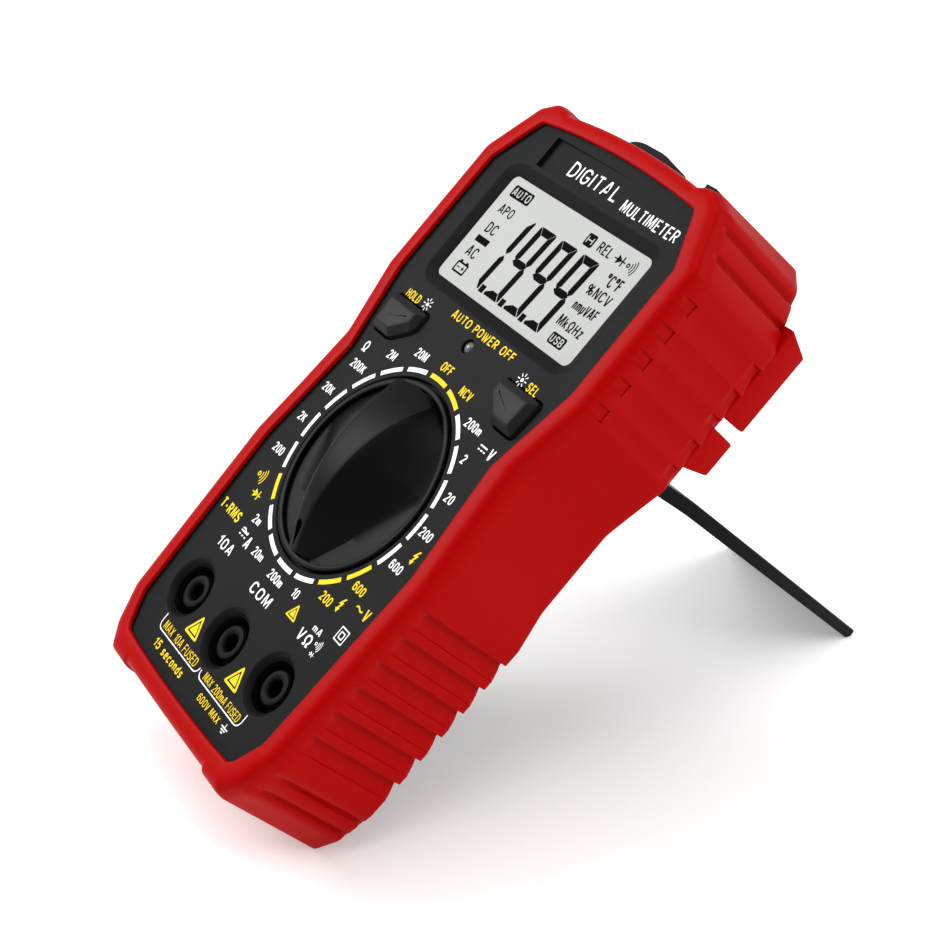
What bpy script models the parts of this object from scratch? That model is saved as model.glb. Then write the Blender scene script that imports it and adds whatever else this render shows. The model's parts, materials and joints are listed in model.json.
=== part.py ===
"""Handheld digital multimeter in a rubber holster, standing on its open rear kickstand.

The parts are modelled in the meter's own frame, in millimetres: the origin is the middle of the
rotary switch on the face, +X runs across the face, +Y runs up it towards the display, and +Z comes
out of it. One empty, meter_frame, tilts them so that the holster's heel and the kickstand's foot
stand on Z = 0, and centres the whole under the world origin.
"""

import math
from collections import namedtuple

import bmesh
import bpy
from mathutils import Euler, Matrix, Vector

MM = 0.001
GAP = 0.3  # clearance kept between separate pieces

# Depths along the meter's Z, from the face plane backwards.
LIP_UNDER_Z = 0.3
RIM_TOP_Z = 1.0
SHOULDER_Z = -3.7
BACK_Z = -29.5
FACE_PLATE = 2.4
PARTING_Z = -14.0
CASE_BACK_Z = -26.5
CASE_WALL = 1.8
CASE_BACK_PLATE = 2.8
HOLSTER_BACK = 2.7
CASE_UNDER_LIP = 1.4  # how far the case runs out beneath the holster's lip
HOLSTER_SIDE = 3.0  # holster wall at its back edge

# Rotary switch.
KNOB_RADIUS = 20.9
KNOB_RECESS_RADIUS = 21.4
KNOB_RECESS_DEPTH = 1.3
KNOB_SKIRT_TOP = 0.4
RIDGE_HEIGHT = 6.9
RIDGE_CENTRE_Y = 0.8
ROTOR_RADIUS = 17.5
ROTOR_TOP_Z = -4.2
ROTOR_BOTTOM_Z = -8.0
DETENT_RADIUS = 14.0

# Circuit board.
BOARD_TOP_Z = -9.2
BOARD_BOTTOM_Z = -10.8

# Display.
DISPLAY_Y = 51.8
WINDOW_HALF = (25.6, 12.9)
BEZEL_HALF = (28.2, 15.5)
DISPLAY_GLASS_HALF = (28.5, 16.0)

# Input jacks, at 19 mm (3/4 inch) centres.
JACK_PITCH = 19.0
JACKS = {"jack_10a": (-JACK_PITCH, -39.8), "jack_common": (0.0, -40.9), "jack_volt": (JACK_PITCH, -39.8)}
JACK_DISH_RADIUS = 6.2
JACK_BORE_RADIUS = 2.0
JACK_SLEEVE_RADIUS = 3.4

# Push buttons: a five-sided cap, given for the right-hand one.
BUTTON_OUTLINE = ((15.4, 31.3), (28.2, 31.3), (27.6, 23.0), (21.0, 23.0), (15.6, 27.2))
BUTTON_TOP_Z = 2.0
LED_XY = (0.0, 31.4)

# Kickstand: hinge axis, bend and the front edge of its foot, as (y, z) in the meter's frame.
STAND_AXIS = (33.0, -28.3)
STAND_BEND = (35.2, -52.0)
STAND_FOOT = (36.5, -113.5)
STAND_HALF_WIDTH = 22.0
STAND_THICK_TOP = 3.0
STAND_THICK_TIP = 2.4
STAND_WINDOW_HALF = 26.5  # opening in the holster's back, behind the stand
STAND_WINDOW_Y = (-56.0, 39.2)

# Batteries: two AAA cells side by side.
CELL_RADIUS = 5.25
CELL_LENGTH = 44.5
CELL_X = 5.65
CELL_Z = -18.6
BAY_HALF_WIDTH = 11.4
BAY_Y = (-32.0, 17.0)
BAY_FLOOR_Z = -13.0
BAY_WALL = 1.2
CONTACT_THICK = 0.4

# Battery cover, and the ears and pins that carry the kickstand.
COVER_HALF_WIDTH = 13.9
COVER_Y = (-34.3, 24.8)
COVER_THICK = 2.0
COVER_SCREW_Y = 21.6
HINGE_EAR_X = (22.5, 25.2)
PIN_RADIUS = 1.0

# Probe clips on the holster's back: each lobe as (low, high) y at its root and at its back.
CLIP_X = (24.2, 36.3)
CLIP_CHANNEL_X = (26.6, 34.0)
CLIP_ROOT_Z = BACK_Z + 1.2
CLIP_BACK_Z = -35.2
CLIP_FLOOR_Z = BACK_Z - 0.8
CLIP_LOBES = (((51.4, 72.0), (51.6, 69.6)), ((39.2, 48.8), (41.1, 48.7)))

# The sensor nose and the lug on its right, which come out through the holster's top wall.
NOSE_OUTLINE = (
    (-7.8, 77.6), (-7.6, 81.2), (-6.4, 82.6), (-3.5, 83.0),
    (3.5, 83.0), (6.4, 82.3), (7.6, 80.9), (7.8, 77.6),
)
NOSE_Z = (-9.5, -4.0)
LUG_X = (18.9, 23.2)
LUG_Z = (-9.0, -4.2)
LUG_TOP_Y = 81.7
SLOT_CLEARANCE = 0.4

# Fuses: (x, y, finish).
FUSES = {"fuse_10a": (-26.0, -10.0, "ceramic"), "fuse_200ma": (-18.2, -10.0, "fuse_glass")}
FUSE_Z = -15.2
FUSE_RADIUS = 2.5
FUSE_HALF_LENGTH = 10.0

CASE_SCREWS = ((-20.0, 73.2), (20.0, 73.2), (-22.5, -49.5), (22.5, -49.5))
BOARD_SCREWS = ((-24.5, 14.0), (24.5, 14.0), (-25.5, -26.0), (25.5, -26.0))

# Heel and foot: narrow flats on which the meter stands, both parallel to the table.
HEEL_Y = -60.6
HEEL_TOP_Z = -28.3
FOOT_FLAT = 1.2

Key = namedtuple("Key", "name face shoulder back")

# Right half of the outline, clockwise from the top: the face's edge inside the holster's lip, the
# holster's shoulder behind its rim, and the holster's back edge.
KEYS = (
    Key("top_middle", (0.0, 77.2), (0.0, 81.2), (0.0, 81.6)),
    Key("top_edge", (20.6, 76.3), (22.9, 80.5), (22.5, 80.9)),
    Key("top_bumper", (21.6, 76.2), (23.9, 81.6), (23.4, 82.1)),
    Key("top_corner", (26.4, 75.7), (26.9, 81.3), (25.9, 82.0)),
    Key("corner_side", (27.3, 74.7), (31.6, 78.6), (30.2, 78.6)),
    Key("upper_side", (32.9, 64.5), (38.1, 66.3), (36.6, 66.0)),
    Key("display_foot", (33.2, 36.0), (38.2, 34.9), (37.0, 33.6)),
    Key("waist", (28.8, 17.0), (34.2, 19.6), (32.9, 21.0)),
    Key("waist_low", (30.2, 5.2), (35.4, 5.0), (33.0, 1.8)),
    Key("switch_side", (31.7, -7.2), (36.8, -7.9), (34.8, -6.5)),
    Key("lower_side", (29.6, -47.3), (34.6, -48.0), (32.7, -48.0)),
    Key("heel_side", (26.3, -53.5), (31.2, -56.0), (30.2, -55.8)),
    Key("heel_corner", (25.0, -54.6), (27.0, HEEL_Y), (26.4, HEEL_Y)),
    Key("heel_bumper", (20.2, -54.95), (20.2, HEEL_Y), (20.2, HEEL_Y)),
    Key("bottom_edge", (19.5, -55.0), (19.5, -59.8), (19.5, -59.8)),
    Key("bottom_middle", (0.0, -55.4), (0.0, -59.9), (0.0, -59.9)),
)

# Finger grips across the holster's sides, as steps of (y, depth) repeated down one segment.
Grip = namedtuple("Grip", "segment first_y pitch count steps")
GRIPS = (
    Grip("corner_side", 76.2, 5.1, 2, ((0.0, 0.0), (-0.5, 0.9), (-1.5, 0.9), (-2.0, 0.0))),
    Grip("upper_side", 63.2, 5.95, 5, ((0.0, 0.0), (-0.25, 0.75))),
    Grip("switch_side", -10.1, 5.97, 6, ((0.0, 0.0), (-0.75, 1.15), (-3.6, 1.15), (-3.85, 0.0))),
    Grip("lower_side", -49.8, 4.2, 2, ((0.0, 0.0), (-0.4, 0.9), (-1.1, 0.9), (-1.4, 0.0))),
)

FINISHES = {
    # name: (colour, roughness, metallic)
    "red_rubber": ((0.62, 0.01, 0.01), 0.42, 0.0),
    "charcoal_plastic": ((0.035, 0.035, 0.037), 0.5, 0.0),
    "black_plastic": ((0.008, 0.008, 0.009), 0.3, 0.0),
    "key_plastic": ((0.06, 0.06, 0.065), 0.45, 0.0),
    "white_plastic": ((0.75, 0.75, 0.72), 0.4, 0.0),
    "clear_plastic": ((0.9, 0.92, 0.9), 0.05, 0.0),
    "display_glass": ((0.7, 0.72, 0.68), 0.1, 0.0),
    "steel": ((0.6, 0.6, 0.62), 0.3, 1.0),
    "brass": ((0.75, 0.58, 0.25), 0.25, 1.0),
    "copper": ((0.8, 0.42, 0.25), 0.3, 1.0),
    "board_green": ((0.02, 0.16, 0.06), 0.35, 0.0),
    "ceramic": ((0.85, 0.83, 0.76), 0.5, 0.0),
    "fuse_glass": ((0.8, 0.85, 0.85), 0.08, 0.0),
    "conductive_rubber": ((0.25, 0.24, 0.3), 0.7, 0.0),
    "cell_jacket": ((0.04, 0.1, 0.3), 0.35, 0.3),
}


# ---------------------------------------------------------------- scene and mesh helpers


def clear_scene():
    for obj in list(bpy.data.objects):
        bpy.data.objects.remove(obj, do_unlink=True)


def finish(name):
    """The Principled material of that name, made on first use."""
    found = bpy.data.materials.get(name)
    if found:
        return found
    colour, roughness, metallic = FINISHES[name]
    made = bpy.data.materials.new(name)
    made.use_nodes = True
    shader = made.node_tree.nodes["Principled BSDF"]
    shader.inputs["Base Color"].default_value = (*colour, 1.0)
    shader.inputs["Roughness"].default_value = roughness
    shader.inputs["Metallic"].default_value = metallic
    return made


def stand_angle():
    """Tilt about X that puts the heel and the kickstand's foot on one level."""
    return math.atan2(HEEL_TOP_Z - STAND_FOOT[1], STAND_FOOT[0] - HEEL_Y)


def make_frame():
    frame = bpy.data.objects.new("meter_frame", None)
    bpy.context.scene.collection.objects.link(frame)
    frame.rotation_euler = Euler((stand_angle(), 0.0, 0.0))
    return frame


def add_object(name, bm, slot, origin=(0.0, 0.0, 0.0)):
    """Turns a bmesh in meter-frame millimetres into an object whose origin is the given point."""
    bmesh.ops.recalc_face_normals(bm, faces=bm.faces)
    bmesh.ops.translate(bm, verts=bm.verts, vec=-Vector(origin))
    bmesh.ops.scale(bm, verts=bm.verts, vec=(MM, MM, MM))
    mesh = bpy.data.meshes.new(name)
    bm.to_mesh(mesh)
    bm.free()
    mesh.shade_smooth()
    mesh.set_sharp_from_angle(angle=math.radians(32.0))
    mesh.materials.append(finish(slot))
    obj = bpy.data.objects.new(name, mesh)
    bpy.context.scene.collection.objects.link(obj)
    obj.location = Vector(origin) * MM
    obj.parent = bpy.data.objects["meter_frame"]
    return obj


def combine(target, operation, bm):
    """A Boolean on target with a hidden helper made from the bmesh."""
    helper_name = f"{target.name}_{operation.lower()}_{len(target.modifiers)}"
    helper = add_object(helper_name, bm, "steel")
    helper.hide_render = True
    helper.hide_viewport = True
    helper.display_type = "WIRE"
    modifier = target.modifiers.new(helper_name, "BOOLEAN")
    modifier.operation = operation
    modifier.solver = "EXACT"
    modifier.object = helper


def add_loft(bm, rings, wrap=False, split=False):
    """Bridges rings of equally many points, and caps the two ends unless the loft wraps.

    split cuts each side face along its shorter diagonal, so that twisted faces match in mirror.
    """
    loops = [[bm.verts.new(point) for point in ring] for ring in rings]
    pairs = list(zip(loops, loops[1:]))
    if wrap:
        pairs.append((loops[-1], loops[0]))
    sides = []
    for near, far in pairs:
        for i, vert in enumerate(near):
            j = (i + 1) % len(near)
            sides.append(bm.faces.new((vert, near[j], far[j], far[i])))
    if not wrap:
        bm.faces.new(reversed(loops[0]))
        bm.faces.new(loops[-1])
    if split:
        bmesh.ops.triangulate(bm, faces=sides, quad_method="SHORT_EDGE")


def add_prism(bm, outline, z_levels):
    """A straight or stepped prism: outline is a list of (x, y), or one such list for each level."""
    if not isinstance(outline[0][0], (tuple, list)):
        outline = [outline] * len(z_levels)
    add_loft(bm, [[(x, y, z) for x, y in ring] for ring, z in zip(outline, z_levels)])


def add_box(bm, low, high):
    corners = ((low[0], low[1]), (high[0], low[1]), (high[0], high[1]), (low[0], high[1]))
    add_prism(bm, corners, (low[2], high[2]))


def on_axis(axis, centre, radius, angle, along):
    """A point at that radius and angle round a line through centre, and that far along it."""
    across, up = radius * math.cos(angle), radius * math.sin(angle)
    offsets = {"X": (along, across, up), "Y": (up, along, across), "Z": (across, up, along)}[axis]
    return tuple(c + o for c, o in zip(centre, offsets))


def add_turned(bm, centre, profile, segments=24, axis="Z", hollow=False):
    """A turned solid. profile lists (radius, distance along the axis); hollow closes it as a ring."""
    rings = []
    for radius, along in profile:
        angles = [2 * math.pi * i / segments for i in range(segments)]
        rings.append([on_axis(axis, centre, radius, angle, along) for angle in angles])
    add_loft(bm, rings, wrap=hollow)


def add_tube(bm, centre, outer, inner, start, end, segments=24, axis="Z"):
    profile = ((outer, start), (outer, end), (inner, end), (inner, start))
    add_turned(bm, centre, profile, segments, axis, hollow=True)


def rounded_rectangle(centre, half, radius, steps=3):
    """Points anticlockwise round a rectangle with quarter-circle corners."""
    points = []
    for quarter in range(4):
        middle = math.radians(45 + 90 * quarter)
        sx, sy = math.copysign(1, math.cos(middle)), math.copysign(1, math.sin(middle))
        cx = centre[0] + sx * (half[0] - radius)
        cy = centre[1] + sy * (half[1] - radius)
        for step in range(steps + 1):
            angle = math.radians(90 * quarter + 90 * step / steps)
            points.append((cx + radius * math.cos(angle), cy + radius * math.sin(angle)))
    return points


def offset_polygon(points, distance):
    """The polygon grown by distance along mitred corners; points run clockwise."""
    grown = []
    for i, point in enumerate(points):
        before = Vector(point) - Vector(points[i - 1])
        after = Vector(points[(i + 1) % len(points)]) - Vector(point)
        normals = [Vector((-side.y, side.x)).normalized() for side in (before, after)]
        miter = (normals[0] + normals[1]).normalized()
        grown.append(tuple(Vector(point) + miter * (distance / miter.dot(normals[0]))))
    return grown


def mirrored(points):
    return [(-x, y) for x, y in reversed(points)]


# ---------------------------------------------------------------- the outline of case and holster


def mix(a, b, share):
    return tuple(p + (q - p) * share for p, q in zip(a, b))


def outward(key):
    """Direction in which the wall thickens at this key: straight out at the two ends."""
    direction = Vector(key.shoulder) - Vector(key.face)
    if abs(direction.y) > 2 * abs(direction.x):
        direction.x = 0.0
    return direction.normalized()


def station_at(start, end, y):
    """The station between two keys whose shoulder and back edge both lie at this y."""
    front = (start.shoulder[1] - y) / (start.shoulder[1] - end.shoulder[1])
    rear = (start.back[1] - y) / (start.back[1] - end.back[1])
    return Key(
        start.name,
        mix(start.face, end.face, front),
        mix(start.shoulder, end.shoulder, front),
        mix(start.back, end.back, rear),
    )


def grip_stations(start, end):
    """(station, depth) pairs for the finger grips that cross this segment."""
    found = []
    for grip in GRIPS:
        if grip.segment != start.name:
            continue
        for i in range(grip.count):
            for step, depth in grip.steps:
                y = grip.first_y - grip.pitch * i + step
                found.append((station_at(start, end, y), depth))
    return found


def holster_stations():
    """Every station round the right half of the holster, from the top to the bottom."""
    found = []
    for start, end in zip(KEYS, KEYS[1:]):
        found.append((start, 0.0))
        found.extend(grip_stations(start, end))
    found.append((KEYS[-1], 0.0))
    return found


def full_ring(half, z):
    """Closes a half outline (x >= 0, first and last on the centre line) with its mirror image."""
    left = [(-x, y) for x, y in reversed(half[1:-1])]
    return [(x, y, z) for x, y in list(half) + left]


def case_point(key, z, inset=0.0):
    """The case's outer surface at this key and depth, moved inwards by inset."""
    front = Vector(key.face) + outward(key) * CASE_UNDER_LIP
    rear = Vector(key.back) - outward(key) * HOLSTER_SIDE
    share = z / CASE_BACK_Z
    point = front.lerp(rear, min(max(share, 0.0), 1.05)) - outward(key) * inset
    return (max(point.x, 0.0), point.y)


def case_ring(z, inset=0.0):
    return full_ring([case_point(key, z, inset) for key in KEYS], z)


# ---------------------------------------------------------------- holster


def window_point(station):
    """Where the ray from the window's middle to this station meets its rounded-rectangle edge."""
    middle_y = 0.5 * (STAND_WINDOW_Y[0] + STAND_WINDOW_Y[1])
    half_height = 0.5 * (STAND_WINDOW_Y[1] - STAND_WINDOW_Y[0])
    x, y = station.back[0], station.back[1] - middle_y
    power = 14.0
    reach = (abs(x / STAND_WINDOW_HALF) ** power + abs(y / half_height) ** power) ** (-1 / power)
    return (x * reach, middle_y + y * reach)


def holster_rings(stations):
    """The holster's section, swept round the outline: lip, rim, side wall, back and cavity."""
    heel_run = (HEEL_TOP_Z - BACK_Z) / math.tan(stand_angle())

    def ring(place, z):
        half = [place(station, depth) for station, depth in stations]
        return full_ring([(max(x, 0.0), y) for x, y in half], z)

    def rim(share):
        return lambda s, d: mix(s.face, s.shoulder, share)

    def side(share):
        return lambda s, d: tuple(Vector(mix(s.shoulder, s.back, share)) - outward(s) * d)

    def back_edge(s, d):
        return tuple(Vector(s.back) - outward(s) * heel_run)

    def cavity(z):
        return lambda s, d: case_point(s, z, -GAP)

    inner_back_z = BACK_Z + HOLSTER_BACK
    return [
        ring(rim(0.0), LIP_UNDER_Z),
        ring(rim(0.2), RIM_TOP_Z),
        ring(rim(0.68), RIM_TOP_Z - 0.25),
        ring(rim(0.95), -1.6),
        ring(side(0.0), SHOULDER_Z),
        ring(side(1.0), HEEL_TOP_Z),
        ring(back_edge, BACK_Z),
        ring(lambda s, d: window_point(s), BACK_Z),
        ring(lambda s, d: window_point(s), inner_back_z),
        ring(cavity(inner_back_z), inner_back_z),
        ring(cavity(PARTING_Z), PARTING_Z),
        ring(cavity(0.0), LIP_UNDER_Z),
    ]


def add_clip(bm, side, lobe):
    """One U-shaped lobe that holds a probe lengthways against the holster's back."""
    (low_root, high_root), (low_back, high_back) = lobe
    outer, inner = CLIP_X[1] * side, CLIP_X[0] * side
    channel_outer, channel_inner = CLIP_CHANNEL_X[1] * side, CLIP_CHANNEL_X[0] * side
    section = (
        (outer, CLIP_ROOT_Z), (outer, CLIP_BACK_Z), (channel_outer, CLIP_BACK_Z),
        (channel_outer, CLIP_FLOOR_Z), (channel_inner, CLIP_FLOOR_Z), (channel_inner, CLIP_BACK_Z),
        (inner, CLIP_BACK_Z), (inner, CLIP_ROOT_Z),
    )

    def edge(root, back, z):
        return root + (back - root) * (CLIP_ROOT_Z - z) / (CLIP_ROOT_Z - CLIP_BACK_Z)

    bottom = [(x, edge(low_root, low_back, z), z) for x, z in section]
    top = [(x, edge(high_root, high_back, z), z) for x, z in section]
    add_loft(bm, [bottom, top])


def make_holster():
    bm = bmesh.new()
    add_loft(bm, holster_rings(holster_stations()), wrap=True, split=True)
    holster = add_object("holster", bm, "red_rubber")
    lobes = bmesh.new()
    for side in (-1, 1):
        for lobe in CLIP_LOBES:
            add_clip(lobes, side, lobe)
    combine(holster, "UNION", lobes)
    slots = bmesh.new()
    clear = SLOT_CLEARANCE
    add_prism(slots, mirrored(offset_polygon(NOSE_OUTLINE, clear)), (NOSE_Z[0] - clear, NOSE_Z[1] + clear))
    add_box(slots, (LUG_X[0] - clear, 76.0, LUG_Z[0] - clear), (LUG_X[1] + clear, 84.0, LUG_Z[1] + clear))
    combine(holster, "DIFFERENCE", slots)


# ---------------------------------------------------------------- front case


def shell_rings(z_open, z_closed, plate):
    """A case half: open edge at z_open, closed plate at z_closed."""
    inward = math.copysign(plate, z_open - z_closed)
    soft = math.copysign(0.6, inward)
    return [
        case_ring(z_closed, 0.5),
        case_ring(z_closed + soft),
        case_ring(z_open),
        case_ring(z_open, CASE_WALL),
        case_ring(z_closed + inward, CASE_WALL),
    ]


def front_additions():
    bm = bmesh.new()
    for x, y in CASE_SCREWS:
        add_tube(bm, (x, y, 0), 3.2, 1.6, PARTING_Z, -1.2, 16)
    for x, y in BOARD_SCREWS:
        add_tube(bm, (x, y, 0), 2.4, 1.2, BOARD_TOP_Z + GAP, -1.6, 12)
    for x, y in JACKS.values():
        add_tube(bm, (x, y, 0), 5.4, JACK_SLEEVE_RADIUS + GAP, BOARD_TOP_Z + GAP, -1.9, 16)
    add_tube(bm, (0, 0, 0), DETENT_RADIUS + 1.4, DETENT_RADIUS - 1.4, -3.0, -1.9, 28)
    return bm


def nose_and_lug():
    bm = bmesh.new()
    add_prism(bm, mirrored(NOSE_OUTLINE), NOSE_Z)
    add_box(bm, (LUG_X[0], 77.0, LUG_Z[0]), (LUG_X[1], LUG_TOP_Y, LUG_Z[1]))
    return bm


def front_cuts():
    """The holes and recesses of the face."""
    bm = bmesh.new()
    through = -FACE_PLATE - 0.2
    window = rounded_rectangle((0, DISPLAY_Y), WINDOW_HALF, 1.5)
    bezel = rounded_rectangle((0, DISPLAY_Y), BEZEL_HALF, 3.0)
    add_prism(bm, [window, window, bezel, bezel], (through, -1.3, -1.3001, 0.5))
    add_turned(
        bm, (0, 0, 0),
        ((6.2, through), (6.2, -KNOB_RECESS_DEPTH), (KNOB_RECESS_RADIUS, -KNOB_RECESS_DEPTH),
         (KNOB_RECESS_RADIUS, 0.5)),
        40,
    )
    for x, y in JACKS.values():
        add_turned(
            bm, (x, y, 0),
            ((JACK_BORE_RADIUS + 0.2, through), (JACK_BORE_RADIUS + 0.2, -1.4), (5.0, -1.4),
             (JACK_DISH_RADIUS, 0.0), (JACK_DISH_RADIUS + 0.2, 0.5)),
            20,
        )
    for outline in (BUTTON_OUTLINE, mirrored(BUTTON_OUTLINE)):
        add_prism(bm, offset_polygon(outline, 0.35), (through, 0.5))
    add_turned(bm, (*LED_XY, 0), ((1.8, through), (1.8, -0.6), (2.4, 0.0), (2.5, 0.5)), 16)
    return bm


def make_front_case():
    bm = bmesh.new()
    add_loft(bm, shell_rings(PARTING_Z, 0.0, -FACE_PLATE), split=True)
    case = add_object("front_case", bm, "charcoal_plastic")
    combine(case, "UNION", front_additions())
    combine(case, "UNION", nose_and_lug())
    combine(case, "DIFFERENCE", front_cuts())


# ---------------------------------------------------------------- rear case and battery bay


def rear_additions():
    bm = bmesh.new()
    floor_z = BAY_FLOOR_Z
    outer = BAY_HALF_WIDTH + BAY_WALL
    add_box(
        bm, (-outer, BAY_Y[0] - BAY_WALL, CASE_BACK_Z + 1.0), (outer, BAY_Y[1] + BAY_WALL, floor_z + 1.0)
    )
    for x, y in CASE_SCREWS:
        add_turned(bm, (x, y, 0), ((3.8, CASE_BACK_Z + 1.0), (3.8, PARTING_Z - GAP)), 16)
    add_turned(bm, (0, COVER_SCREW_Y, 0), ((2.6, CASE_BACK_Z + 1.0), (2.6, -16.0)), 16)
    return bm


def hinge_ears():
    """Two ears on the back that carry the kickstand's pins."""
    bm = bmesh.new()
    y, z = STAND_AXIS
    root_z, tip_z = CASE_BACK_Z + 1.0, z - 1.7
    outline = ((y - 3.2, root_z), (y - 2.2, tip_z), (y + 2.2, tip_z), (y + 3.2, root_z))
    for side in (-1, 1):
        rings = [[(side * x, py, pz) for py, pz in outline] for x in HINGE_EAR_X]
        add_loft(bm, rings)
    return bm


def rear_cuts():
    bm = bmesh.new()
    back = CASE_BACK_Z - 1.0
    bay = [(-BAY_HALF_WIDTH, BAY_Y[0]), (BAY_HALF_WIDTH, BAY_Y[0]), (BAY_HALF_WIDTH, BAY_Y[1]),
           (-BAY_HALF_WIDTH, BAY_Y[1])]
    cover = [(-COVER_HALF_WIDTH, COVER_Y[0]), (COVER_HALF_WIDTH, COVER_Y[0]),
             (COVER_HALF_WIDTH, COVER_Y[1]), (-COVER_HALF_WIDTH, COVER_Y[1])]
    ledge = CASE_BACK_Z + COVER_THICK + GAP
    add_prism(bm, [cover, cover, bay, bay], (back, ledge, ledge + 0.0001, BAY_FLOOR_Z))
    for x, y in CASE_SCREWS:
        profile = ((3.0, back), (3.0, CASE_BACK_Z + 2.6), (1.7, CASE_BACK_Z + 2.6), (1.7, PARTING_Z + 1.0))
        add_turned(bm, (x, y, 0), profile, 16)
    return bm


def hinge_cuts():
    """The pocket that clears the stand's barrel, the pin bores and the cover screw's hole."""
    bm = bmesh.new()
    y, z = STAND_AXIS
    pocket_x = STAND_HALF_WIDTH + 0.35
    add_box(bm, (-pocket_x, y - 3.4, CASE_BACK_Z - 1.0), (pocket_x, y + 4.4, CASE_BACK_Z + 1.9))
    for side in (-1, 1):
        start, end = sorted((side * (pocket_x + 0.001), side * (HINGE_EAR_X[1] + 1.0)))
        add_turned(bm, (0, y, z), ((PIN_RADIUS + 0.2, start), (PIN_RADIUS + 0.2, end)), 12, axis="X")
    add_turned(bm, (0, COVER_SCREW_Y, 0), ((1.3, CASE_BACK_Z + 1.5), (1.3, -17.5)), 12)
    return bm


def make_rear_case():
    bm = bmesh.new()
    add_loft(bm, shell_rings(PARTING_Z - GAP, CASE_BACK_Z, CASE_BACK_PLATE), split=True)
    case = add_object("rear_case", bm, "black_plastic")
    combine(case, "UNION", rear_additions())
    combine(case, "UNION", hinge_ears())
    combine(case, "DIFFERENCE", rear_cuts())
    combine(case, "DIFFERENCE", hinge_cuts())


def make_battery_cover():
    bm = bmesh.new()
    half = COVER_HALF_WIDTH - GAP
    add_box(
        bm, (-half, COVER_Y[0] + GAP, CASE_BACK_Z), (half, COVER_Y[1] - GAP, CASE_BACK_Z + COVER_THICK)
    )
    cover = add_object("battery_cover", bm, "black_plastic")
    hole = bmesh.new()
    profile = ((2.6, CASE_BACK_Z - 1.0), (2.6, CASE_BACK_Z + 1.3), (1.3, CASE_BACK_Z + 1.3),
               (1.3, CASE_BACK_Z + COVER_THICK + 1.0))
    add_turned(hole, (0, COVER_SCREW_Y, 0), profile, 20)
    combine(cover, "DIFFERENCE", hole)


# ---------------------------------------------------------------- fasteners


def make_screw(name, xy, head_z, head_radius, head_thick, shaft_radius, tip_z):
    """A pan-head screw that points towards the face, with a cross recess in its head."""
    bm = bmesh.new()
    x, y = xy
    top = head_z + head_thick
    profile = ((head_radius * 0.7, head_z), (head_radius, head_z + 0.35 * head_thick), (head_radius, top),
               (shaft_radius, top), (shaft_radius, tip_z - shaft_radius), (0.3 * shaft_radius, tip_z))
    add_turned(bm, (x, y, 0), profile, 14)
    screw = add_object(name, bm, "steel", origin=(x, y, head_z))
    cross = bmesh.new()
    long, thin, sunk = 0.62 * head_radius, 0.17 * head_radius, 0.55 * head_thick
    points = [(thin, long), (thin, thin), (long, thin), (long, -thin), (thin, -thin), (thin, -long),
              (-thin, -long), (-thin, -thin), (-long, -thin), (-long, thin), (-thin, thin), (-thin, long)]
    add_prism(cross, [(x + px, y + py) for px, py in points], (head_z - 1.0, head_z + sunk))
    combine(screw, "DIFFERENCE", cross)


def make_screws():
    for i, xy in enumerate(CASE_SCREWS, 1):
        make_screw(f"case_screw_{i}", xy, CASE_BACK_Z + 0.6, 2.6, 1.6, 1.25, -7.0)
    for i, xy in enumerate(BOARD_SCREWS, 1):
        make_screw(f"board_screw_{i}", xy, BOARD_BOTTOM_Z - 1.5, 2.1, 1.2, 0.9, -5.0)
    make_screw("battery_cover_screw", (0, COVER_SCREW_Y), CASE_BACK_Z + 0.1, 2.2, 0.9, 1.0, -19.0)


# ---------------------------------------------------------------- kickstand


def across(direction):
    """That direction in the (y, z) plane, turned a quarter turn."""
    return Vector((-direction.y, direction.x))


def stand_section():
    """The plate's side view as (y, z), from the hinge down to the flat that rests on the table."""
    hinge, bend = Vector(STAND_AXIS), Vector(STAND_BEND)
    upper = (bend - hinge).normalized()
    front_foot = Vector(STAND_FOOT)
    foot_middle = front_foot + across((front_foot - bend).normalized()) * (0.5 * STAND_THICK_TIP)
    lower = (foot_middle - bend).normalized()
    sideways = across(lower)
    at_hinge = across(upper) * (0.5 * STAND_THICK_TOP)
    at_bend = (at_hinge + sideways * (0.5 * STAND_THICK_TOP)) * 0.5
    tilt = stand_angle()
    end_foot = front_foot + Vector((math.cos(tilt), -math.sin(tilt))) * FOOT_FLAT
    back_tip = front_foot + sideways * STAND_THICK_TIP
    end_back = back_tip + lower * (end_foot - front_foot).dot(lower)
    return [hinge + at_hinge, bend + at_bend, end_back, end_foot, front_foot, bend - at_bend,
            hinge - at_hinge]


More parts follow.
